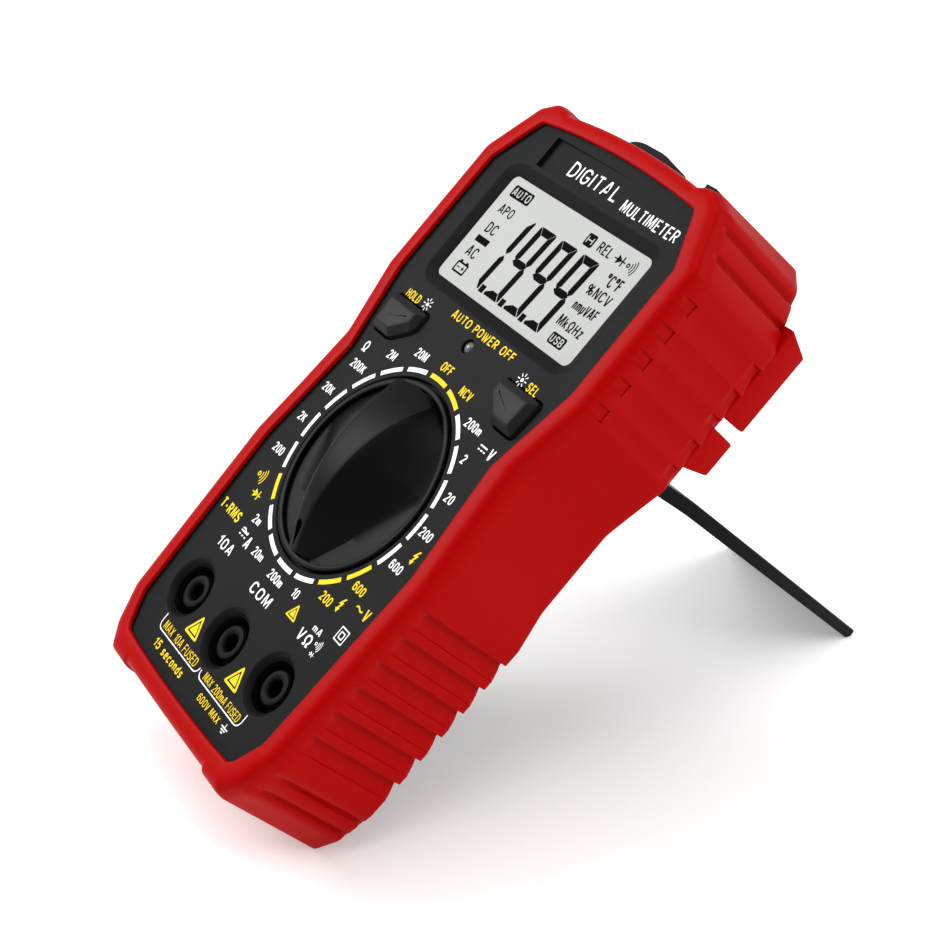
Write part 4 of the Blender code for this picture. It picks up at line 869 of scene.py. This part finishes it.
def add_line(bm, points, width, z=0.0):
    """A printed stroke along the points, with mitred bends; it closes if it ends where it began."""
    points = [Vector(p) for p in points]
    points = [p for i, p in enumerate(points) if not i or (p - points[i - 1]).length > 0.02]
    closed = (points[0] - points[-1]).length < 0.02
    if closed:
        points = points[:-1]
    left, right = [], []
    for i, point in enumerate(points):
        inner = closed or 0 < i < len(points) - 1
        before = (point - points[i - 1]).normalized() if i or inner else None
        after = (points[(i + 1) % len(points)] - point).normalized() if inner or not i else None
        along = ((before or after) + (after or before)).normalized()
        side = left_of(along)
        reach = 0.5 * width / max(0.5, along.dot(after or before))
        left.append(tuple(point + side * reach))
        right.append(tuple(point - side * reach))
    if closed:
        add_ring_print(bm, left, right, z)
    else:
        add_strip(bm, left, right, z)


def add_text(bm, text, centre, height, width=None, z=0.0, weight=0.15, slope=None):
    """Lettering as a thin raised print, that tall and, if given, that wide."""
    stroke = weight * height
    starts, total = [], 0.0
    for letter in text:
        starts.append(total)
        total += LETTERS[letter][0] + weight + LETTER_GAP
    total -= weight + LETTER_GAP
    stretch = (width - stroke) / total if width else height
    lift = 0.0
    for letter, start in zip(text, starts):
        left = start - 0.5 * total
        for points in LETTERS[letter][1]:
            path = [(centre[0] + (left + x) * stretch, centre[1] + (y - 0.5) * (height - stroke))
                    for x, y in points]
            base = z if slope is None else slope(path[0][0])
            lift = STROKE_LIFT - lift
            add_line(bm, path, stroke, base + lift)


def add_sun(bm, centre):
    """The backlight symbol."""
    add_patch(bm, circle(centre, 0.42, 20)(0.0))
    for i in range(8):
        a = math.pi * i / 4
        ends = [(centre[0] + r * math.cos(a), centre[1] + r * math.sin(a)) for r in (0.8, 1.45)]
        add_line(bm, ends, 0.22)


def add_diode(bm, centre, size, z=0.0):
    x, y = centre
    back = x - 0.5 * size
    add_patch(bm, [(back, y - 0.55 * size), (back, y + 0.55 * size), (x + 0.4 * size, y)], z)
    add_line(bm, [(x + 0.5 * size, y - 0.6 * size), (x + 0.5 * size, y + 0.6 * size)], 0.18 * size, z)
    add_line(bm, [(x - size, y), (x + size, y)], 0.14 * size, z)


def add_buzzer(bm, centre, size, z=0.0):
    """The continuity symbol: a source and the sound that spreads from it."""
    x, y = centre
    add_ring_print(bm, circle((x, y), 0.28 * size, 20)(0), circle((x, y), 0.13 * size, 20)(0), z)
    for i in range(1, 4):
        add_line(bm, arc((x, y), (0.25 + 0.36 * i) * size, -42, 42), 0.12 * size, z)


def add_bolt(bm, centre, size):
    x, y = centre
    shape = ((0.15, 1.0), (-0.5, 0.0), (-0.05, 0.08), (-0.3, -0.6), (-0.55, -0.55), (0.0, -1.1), (0.3, -0.4),
             (0.05, -0.45), (0.45, 0.42), (0.0, 0.35), (0.5, 1.0))
    add_patch(bm, [(x + u * size, y + v * size) for u, v in shape])


def add_triangle(bm, centre, width, height):
    """A plain rounded marker triangle with an inner line."""
    x, y = centre

    def outline(inset):
        foot = y - 0.5 * height
        points = ((x - 0.5 * width, foot), (x, y + 0.5 * height), (x + 0.5 * width, foot))
        return rounded(offset_polygon(points, -inset), max(0.2, 0.14 * width - inset), 4)

    add_ring_print(bm, outline(0.0), outline(0.09 * width))
    add_patch(bm, outline(0.15 * width))


def add_ranges(white, yellow):
    """The ring of range marks round the knob, 18 degrees apart, clockwise from OFF."""
    yellow_marks = {0, 1, 7, 8, 13}
    for i in range(20):
        middle = 90 - 18 * i
        target = yellow if i in yellow_marks else white
        inner = arc((0, 0), 22.52, middle + 7.2, middle - 7.2, 10)
        outer = arc((0, 0), 23.5, middle - 7.2, middle + 7.2, 10)
        add_patch(target, inner + outer)


WHITE_LABELS = (
    # text, x, y, height
    ("200m", 17.05, 20.5, 2.0), ("2", 20.85, 14.85, 2.0), ("20", 24.9, 7.75, 2.0), ("200", 26.3, 0.1, 2.0),
    ("600", 25.6, -7.9, 2.0), ("10", 8.0, -24.85, 2.0), ("200m", 0.3, -25.8, 2.0), ("20m", -8.85, -25.2, 2.0),
    ("2m", -16.2, -20.8, 2.0), ("200", -26.0, -7.9, 2.0), ("2K", -26.8, 0.05, 2.0), ("20K", -26.1, 7.75, 2.0),
    ("200K", -23.1, 15.0, 2.0), ("2M", -16.65, 20.9, 2.0), ("20M", -9.2, 24.65, 2.0),
    ("Ω", -25.35, 19.0, 2.5), ("V", 26.05, 18.65, 2.5), ("A", -13.8, -25.35, 2.7),
)
YELLOW_LABELS = (
    ("OFF", -0.2, 25.65, 2.0), ("NCV", 9.1, 24.25, 2.0), ("600", 21.6, -15.5, 2.0), ("200", 16.0, -21.2, 2.0),
    ("V", 28.1, -17.85, 2.5), ("HOLD", -23.8, 32.7, 1.95), ("SEL", 23.3, 32.5, 1.95),
)
WIDE_LABELS = (
    # text, x, y, height, width
    ("10A", -19.0, -28.9, 2.45, 6.2), ("COM", 0.0, -30.05, 2.5, 8.0), ("VΩ", 18.4, -28.95, 2.5, 4.8),
    ("mA", 20.0, -26.35, 1.55, 3.0),
)


def print_currents(white, yellow):
    """The direct and alternating current signs."""
    for x, y, half in ((23.1, 18.6, 1.2), (-16.85, -24.6, 1.4)):
        add_line(white, [(x - half, y + 0.3), (x + half, y + 0.3)], 0.32)
        for i in (-1, 0, 1):
            dash = x + i * 0.78 * half
            add_line(white, [(dash - 0.28, y - 0.55), (dash + 0.28, y - 0.55)], 0.3)
    for target, x, y, size in ((white, -16.85, -23.9, 1.35), (yellow, 25.35, -18.0, 1.2)):
        wave = [(x + size * (t / 6 - 1), y - 0.2 * size * math.sin(math.pi * (t / 6 - 1))) for t in range(13)]
        add_line(target, wave, 0.32)


def print_jack_marks(white, yellow):
    """The lines and ratings under the jacks."""
    for low, high, low_top, high_top in ((-19.2, 0.1, -46.5, -48.1), (0.8, 20.1, -48.1, -46.5)):
        points = [(low, low_top), (low, -48.2)] + bow((low + 1.5, -48.2), (1.5, 1.45), 180, 270, 5)
        points += bow((high - 1.5, -48.2), (1.5, 1.45), 270, 360, 5) + [(high, high_top)]
        add_line(white, points, 0.26)
    add_text(yellow, "MAX 10A FUSED", (-9.7, -48.25), 1.9, 16.0, weight=0.1)
    add_text(yellow, "MAX 200mA FUSED", (10.8, -48.35), 1.75, 16.2, weight=0.1)
    add_text(yellow, "15 seconds", (-9.9, -51.9), 2.0, 13.8)
    add_text(yellow, "600V MAX", (9.95, -51.65), 1.6, 9.5, weight=0.12)
    for i, half in enumerate((1.25, 0.8, 0.35)):
        add_line(white, [(17.3 - half, -51.5 - 0.5 * i), (17.3 + half, -51.5 - 0.5 * i)], 0.26)
    add_line(white, [(17.3, -50.6), (17.3, -51.5)], 0.2)
    for x in (-9.1, 10.55):
        add_triangle(yellow, (x, -43.5), 5.6, 5.0)
    add_triangle(yellow, (11.25, -27.2), 3.9, 3.3)


def make_printing(look):
    white, yellow = bmesh.new(), bmesh.new()
    add_ranges(white, yellow)
    for target, labels in ((white, WHITE_LABELS), (yellow, YELLOW_LABELS)):
        for text, x, y, height in labels:
            add_text(target, text, (x, y), height)
    for text, x, y, height, width in WIDE_LABELS:
        add_text(white, text, (x, y), height, width, weight=0.16)
    add_text(yellow, "AUTO POWER OFF", (1.65, 34.85), 1.95, 23.4)
    add_text(yellow, "T-RMS", (-25.25, -23.3), 2.4, 8.5, weight=0.17)
    add_text(white, "MULTIMETER", (18.15, 69.8), 2.65, 18.3, weight=0.125)
    add_text(white, "DIGITAL", (-2.6, 70.95), 3.4, 17.6, weight=0.125, slope=plaque_z)
    add_sun(white, (-18.45, 33.0))
    add_sun(white, (19.15, 32.7))
    add_diode(yellow, (-22.1, -17.45), 1.7)
    add_buzzer(yellow, (-25.7, -14.1), 1.9)
    add_diode(white, (22.9, -30.15), 0.85)
    add_buzzer(white, (22.1, -28.15), 1.3)
    add_bolt(yellow, (28.0, -4.3), 1.5)
    add_bolt(yellow, (20.35, -20.0), 1.5)
    for half in (1.5, 0.75):
        outer = rounded_rectangle((26.2, -23.7), (half, half), 0.12, 2)
        inner = rounded_rectangle((26.2, -23.7), (half - 0.25, half - 0.25), 0.1, 2)
        add_ring_print(white, outer, inner)
    print_currents(white, yellow)
    print_jack_marks(white, yellow)
    add_piece("face_print_white", white, look["white"], "meter")
    add_piece("face_print_yellow", yellow, look["yellow"], "meter")


# Seven-segment digits on the display: cells of this size, leaning to the right. U and V run from the
# display's middle, across and up.
DIGITS = ("bc", "abfgcd", "abfgcd", "abfgcd")  # the lit segments, which show 1.9.9.9
DIGITS_LEFT = -13.1
DIGITS_V = -1.93
DIGIT_HALF = (2.85, 8.6)
DIGIT_STROKE = 1.6
DIGIT_LEAN = 0.078
DIGIT_PITCH = 7.7
DIGIT_GAP = 0.1
POINT_V = -9.7

BOXED_SIGNS = (
    # text, u, v, half size of the box, height
    ("AUTO", -19.1, 9.55, (3.55, 1.35), 1.9), ("H", 6.7, 9.4, (1.42, 1.37), 1.7),
    ("USB", 18.05, -9.45, (2.45, 1.2), 1.75),
)
SIGNS = (
    # text, u, v, height, width
    ("APO", -19.7, 5.25, 2.2, 5.0), ("DC", -19.7, 0.8, 2.45, 3.5), ("AC", -19.9, -5.15, 2.5, 3.6),
    ("REL", 12.05, 9.4, 2.3, 4.4), ("°C°F", 20.05, 5.1, 2.7, 5.0), ("%NCV", 18.95, 1.8, 2.3, 7.7),
    ("nmµVAF", 18.8, -1.9, 2.3, 7.6), ("MkΩHz", 18.45, -5.9, 2.35, 8.2),
)


def display_point(u, v):
    return (u, DISPLAY_Y + v)


def add_digit(bm, u, v, segments):
    """A digit centred on (u, v) of the display, from the segments named a to g."""
    wide, tall = DIGIT_HALF
    s, g = DIGIT_STROKE, DIGIT_GAP
    half = 0.5 * s

    def bar(points):
        leaning = [(u + x + DIGIT_LEAN * y, v + y) for x, y in points]
        add_patch(bm, [display_point(x, y) for x, y in leaning], LCD_Z)

    if "a" in segments:
        bar([(-wide + 0.3 + g, tall), (wide - 0.3 - g, tall), (wide - s, tall - s), (-wide + s, tall - s)])
    if "d" in segments:
        bar([(-wide + 0.3 + g, -tall + 0.6), (-wide + s + 0.6, -tall + s), (wide - s - g, -tall + s),
             (wide - 0.4 - g, -tall), (-wide + 0.6, -tall)])
    if "g" in segments:
        bar([(-wide + 0.2, 0), (-wide + s, half), (wide - s, half), (wide - 0.5, 0), (wide - s, -half),
             (-wide + s, -half)])
    upright = ((wide, tall - 0.4), (wide - 0.3, tall - 0.1), (wide - s, tall - 0.1 - s - g),
               (wide - s, 0.1 + half + 2 * g), (wide - half, 0.1 + g), (wide, 0.1 + g + half))
    for name, side, end in (("b", 1, 1), ("f", -1, 1), ("c", 1, -1), ("e", -1, -1)):
        if name in segments:
            bar([(side * x, end * y) for x, y in upright])


def add_reading(bm):
    """The digits, with a decimal point to the left of each but the first."""
    for i, segments in enumerate(DIGITS):
        add_digit(bm, DIGITS_LEFT + DIGIT_PITCH * i, DIGITS_V, segments)
        if i:
            u = DIGITS_LEFT + DIGIT_PITCH * (i - 0.5) + 0.28
            add_patch(bm, [display_point(u + du + DIGIT_LEAN * POINT_V, POINT_V + dv) for du, dv in
                           ((-0.76, -0.95), (0.76, -0.95), (0.8, 0.7), (-0.72, 0.7))], LCD_Z)


def add_battery_sign(bm, centre):
    x, y = centre

    def box(middle, half, radius):
        return rounded_rectangle(middle, half, radius, 1)

    add_ring_print(bm, box(centre, (2.05, 1.25), 0.2), box(centre, (1.65, 0.85), 0.1), LCD_Z)
    for side in (-1, 1):
        add_patch(bm, box((x + side * 1.1, y + 1.4), (0.4, 0.25), 0.05), LCD_Z)
        sign = x + side * 0.8
        add_line(bm, [(sign - 0.45, y), (sign + 0.45, y)], 0.24, LCD_Z)
    add_line(bm, [(x + 0.8, y - 0.45), (x + 0.8, y + 0.45)], 0.24, LCD_Z)


def make_display(look):
    panel, dark, light = bmesh.new(), bmesh.new(), bmesh.new()
    edge = rounded_rectangle(display_point(0.0, 0.0), (LCD_HALF[0] + 1.2, LCD_HALF[1] + 1.2), 2.0)
    add_levels(panel, [(edge, LCD_Z - 1.0), (edge, LCD_Z)])
    add_piece("display_panel", panel, look["lcd"], "meter",
              ["display_window", "display_glass"])
    add_reading(dark)
    for text, u, v, half, height in BOXED_SIGNS:
        add_patch(dark, rounded_rectangle(display_point(u, v), half, 0.45, 3), LCD_Z)
        add_text(light, text, display_point(u, v), height, 2 * half[0] - 0.9, LCD_Z + 0.03, weight=0.16)
    for text, u, v, height, width in SIGNS:
        add_text(dark, text, display_point(u, v), height, width, LCD_Z, weight=0.135)
    add_patch(dark, rounded_rectangle(display_point(-19.75, -2.2), (2.27, 0.72), 0.1, 1), LCD_Z)
    add_diode(dark, display_point(17.2, 9.3), 1.75, LCD_Z)
    add_buzzer(dark, display_point(20.0, 9.25), 1.75, LCD_Z)
    add_battery_sign(dark, display_point(-19.6, -9.1))
    add_piece("display_marks", dark, look["segment"], "meter")
    add_piece("display_boxed_letters", light, look["lcd"], "meter")


# ---------------------------------------------------------------- knob, buttons and lens


def ridge_top(y):
    """Height of the grip's arched crest above the face."""
    share = (y - RIDGE_CENTRE_Y) / (KNOB_RADIUS + 0.8)
    return KNOB_SKIRT_TOP + RIDGE_HEIGHT * (1 - share * share)


def ridge_half_width(y):
    """The crest is narrow at its pointer end (-Y) and flares at its rounded end (+Y)."""
    share = (y + KNOB_RADIUS) / (2 * KNOB_RADIUS)
    return 1.4 + 4.2 * share + 2.6 * share**6


def foot_half_width(y):
    """The grip's foot widens from its pointer end until it reaches the knob's edge."""
    return 3.0 + 0.64 * (y + KNOB_RADIUS)


def knob_section(y):
    """One slice across the grip, as (x, z) points from its left edge over the crest to its right."""
    reach = math.sqrt(KNOB_GRIP_RADIUS**2 - y * y)
    foot = min(foot_half_width(y), reach)
    crest = min(ridge_half_width(y), 0.985 * foot)
    top = ridge_top(y)
    left = [(-reach, KNOB_FLOOR_Z), (-0.5 * (reach + foot), KNOB_FLOOR_Z)]
    for step in range(11):
        share = step / 10
        x = foot + (crest - foot) * share
        left.append((-x, KNOB_FLOOR_Z + (top - RIDGE_ROUND - KNOB_FLOOR_Z) * share**1.25))
    for share in (0.96, 0.88, 0.7, 0.35):
        left.append((-crest * share, top - RIDGE_ROUND * ((share - 0.3) / 0.7) ** 4))
    right = [(-x, z) for x, z in reversed(left)]
    return left + right + [(reach, KNOB_FLOOR_Z - 0.25), (-reach, KNOB_FLOOR_Z - 0.25)]


def make_knob(look):
    bm = bmesh.new()
    slices = 96
    rings = []
    for i in range(slices + 1):
        y = KNOB_GRIP_RADIUS * math.sin(math.radians(-87 + 174 * i / slices))
        rings.append([(x, y, z) for x, z in knob_section(y)])
    add_loft(bm, rings)
    skirt = bmesh.new()
    low = -KNOB_RECESS_DEPTH + GAP
    outer, inner = KNOB_RADIUS, KNOB_GRIP_RADIUS + 0.1
    floor = KNOB_FLOOR_Z - 0.1
    profile = ((3.0, low), (outer - 0.15, low), (outer, low + 0.15), (outer, 0.1), (outer - 0.1, 0.3),
               (outer - 0.3, KNOB_SKIRT_TOP), (inner + 0.45, KNOB_SKIRT_TOP), (inner + 0.2, 0.33),
               (inner + 0.05, 0.15), (inner, -0.1), (inner, floor), (3.0, floor))
    add_turned(skirt, (0, 0, 0), profile, 128, hollow=True)
    bm = carve(bm, skirt, "UNION")
    pointer = bmesh.new()
    tip_y, round_y, half = -19.4, -14.7, 0.95
    drop = [(0.0, tip_y)] + arc((0.0, round_y), half, -12, 192, 16)
    add_levels(pointer, [(drop, ridge_top(tip_y) - 0.6), (drop, RIDGE_HEIGHT + 1.1)])
    bm = carve(bm, pointer)
    add_piece("dial_grip", bm, look["knob"], "dial", ["dial_knob"], sharp=28)


def make_buttons(look):
    levels = ((0.0, -3.0), (0.0, 0.62), (-0.1, 0.82), (-0.28, 0.98), (-1.1, 1.8), (-1.35, 1.97), (-1.7, 2.05),
              (-3.0, 2.12))
    for name, points, body in (("select_button", BUTTON_OUTLINE, "select_key"),
                               ("hold_button", mirrored(BUTTON_OUTLINE), "hold_key")):
        bm = bmesh.new()
        edge = button_edge(points)
        add_levels(bm, [(edge(grow), z) for grow, z in levels])
        add_piece(f"{name}_cap", bm, look["keys"], body, [name], sharp=50, even=True)


def make_lens(look):
    bm = bmesh.new()
    radius, tip = 1.38, -0.05
    dome = bow((0.0, tip - 1.0), (radius, 1.0), 15, 75, 4)
    profile = [(radius, -3.0), (radius, tip - 1.0), *dome, (0.05, tip)]
    add_turned(bm, (*LED_XY, 0), profile, 40)
    add_piece("indicator_lens", bm, look["lens"], "meter", ["indicator_led"], sharp=60)


# ---------------------------------------------------------------- kickstand


def stand_section():
    """The plate's side view as (y, z), from the hinge down to the flat that rests on the table."""
    hinge, bend, front_foot = Vector(STAND_AXIS), Vector(STAND_BEND), Vector(STAND_FOOT)
    upper = (bend - hinge).normalized()
    front = (front_foot - bend).normalized()
    lower = (front_foot + left_of(front) * (0.5 * STAND_THICK_TIP) - bend).normalized()
    sideways = left_of(lower)
    at_hinge = left_of(upper) * (0.5 * STAND_THICK_TOP)
    at_bend = (at_hinge + sideways * (0.5 * STAND_THICK_TOP)) * 0.5
    end_foot = front_foot + Vector((math.cos(TILT), -math.sin(TILT))) * FOOT_FLAT
    back_tip = front_foot + sideways * STAND_THICK_TIP
    end_back = back_tip + lower * (end_foot - front_foot).dot(lower)
    return [hinge + at_hinge, bend + at_bend, end_back, end_foot, front_foot, bend - at_bend,
            hinge - at_hinge]


def make_stand(look):
    """A bent plate with a hinge barrel along its top edge."""
    half = STAND_HALF_WIDTH
    bm = bmesh.new()
    section = [tuple(p) for p in stand_section()]
    add_loft(bm, [[(x, py, pz) for py, pz in section] for x in (-half, half)])
    soften(bm, 0.45)
    barrel = bmesh.new()
    y, z = STAND_AXIS
    edge = half - 0.01
    profile = ((1.2, -edge), (1.95, -edge), (2.2, 0.25 - edge), (2.2, edge - 0.25), (1.95, edge), (1.2, edge))
    add_turned(barrel, (0, y, z), profile, 40, axis="X")
    bm = carve(bm, barrel, "UNION")
    bores = bmesh.new()
    for side in (-1, 1):
        start, end = sorted((side * (half - 6.0), side * (half + 1.0)))
        add_turned(bores, (0, y, z), ((1.2, start), (1.2, end)), 24, axis="X")
    bm = carve(bm, bores)
    add_piece("kickstand_plate", bm, look["stand"], "stand", ["kickstand"])


# ---------------------------------------------------------------- carried-over CAD nodes


def paint_nodes(look):
    """Gives every CAD node that stays its procedural material."""
    finishes = {
        "shell": "rear_case battery_cover hold_switch select_switch buzzer meter_chip",
        "steel": "case_screw board_screw battery_cover_screw kickstand_pin detent battery_contact "
                 "battery_bridge",
        "milky": "switch_rotor hold_switch_stem select_switch_stem backlight_panel display_frame",
        "brass": "switch_wiper jack fuse_10a_clip fuse_200ma_clip",
        "copper": "current_shunt sensor_plate",
        "zebra": "contact_strip", "board": "main_board", "ceramic": "fuse_10a", "glass": "fuse_200ma",
        "jacket": "battery_",
    }
    starts = {start: finish for finish, names in finishes.items() for start in names.split()}
    for name, node in frame["nodes"].items():
        matches = [start for start in starts if name.startswith(start)]
        if matches:
            node.data.materials.clear()
            node.data.materials.append(look[starts[max(matches, key=len)]])
            smooth(node.data, 30)


# ---------------------------------------------------------------- stage, lights and camera

WHITE = (1.0, 1.0, 1.0, 1.0)


def make_floor():
    bm = bmesh.new()
    add_box(bm, (-3.0, -3.0, -0.02), (3.0, 3.0, 0.0))
    floor = link_mesh("floor", bm)
    floor.data.materials.append(make_material("floor_paint", (0.9, 0.9, 0.9), 0.8, mottle=0.01,
                                              emission_color=WHITE, emission_strength=0.2))


def add_light(name, place, target, size, power):
    data = bpy.data.lights.new(name, "AREA")
    data.shape = "RECTANGLE"
    data.size, data.size_y = size
    data.energy = power
    light = link_object(name, data)
    light.location = place
    light.rotation_euler = (Vector(target) - Vector(place)).to_track_quat("-Z", "Y").to_euler()


def make_lights():
    target = (0.0, 0.0, 0.05)
    add_light("key", (-0.75, -0.55, 0.75), target, (0.6, 0.6), 10.3)
    add_light("side", (0.8, 0.75, 0.5), target, (0.6, 0.8), 5.2)
    add_light("top", (0.0, 0.1, 1.3), target, (1.0, 1.0), 7.0)
    world = bpy.data.worlds.new("studio")
    world.use_nodes = True
    sky = world.node_tree.nodes["Background"]
    sky.inputs["Color"].default_value = WHITE
    sky.inputs["Strength"].default_value = 0.6
    bpy.context.scene.world = world
    bpy.context.scene.view_settings.view_transform = "Standard"


def make_camera():
    data = bpy.data.cameras.new("camera")
    data.lens = 78.35
    data.sensor_width = 36.0
    data.clip_start = 0.01
    camera = link_object("camera", data)
    camera.location = (0.31146, -0.17044, 0.2558)
    camera.rotation_euler = Euler([math.radians(a) for a in (60.134, 1.632, 61.178)], "XYZ")
    bpy.context.scene.camera = camera


def main():
    look = make_materials()
    paint_nodes(look)
    make_holster(look)
    make_front_case(look)
    make_jack_linings(look)
    make_display(look)
    make_printing(look)
    make_knob(look)
    make_buttons(look)
    make_lens(look)
    make_stand(look)
    make_floor()
    make_lights()
    make_camera()


main()
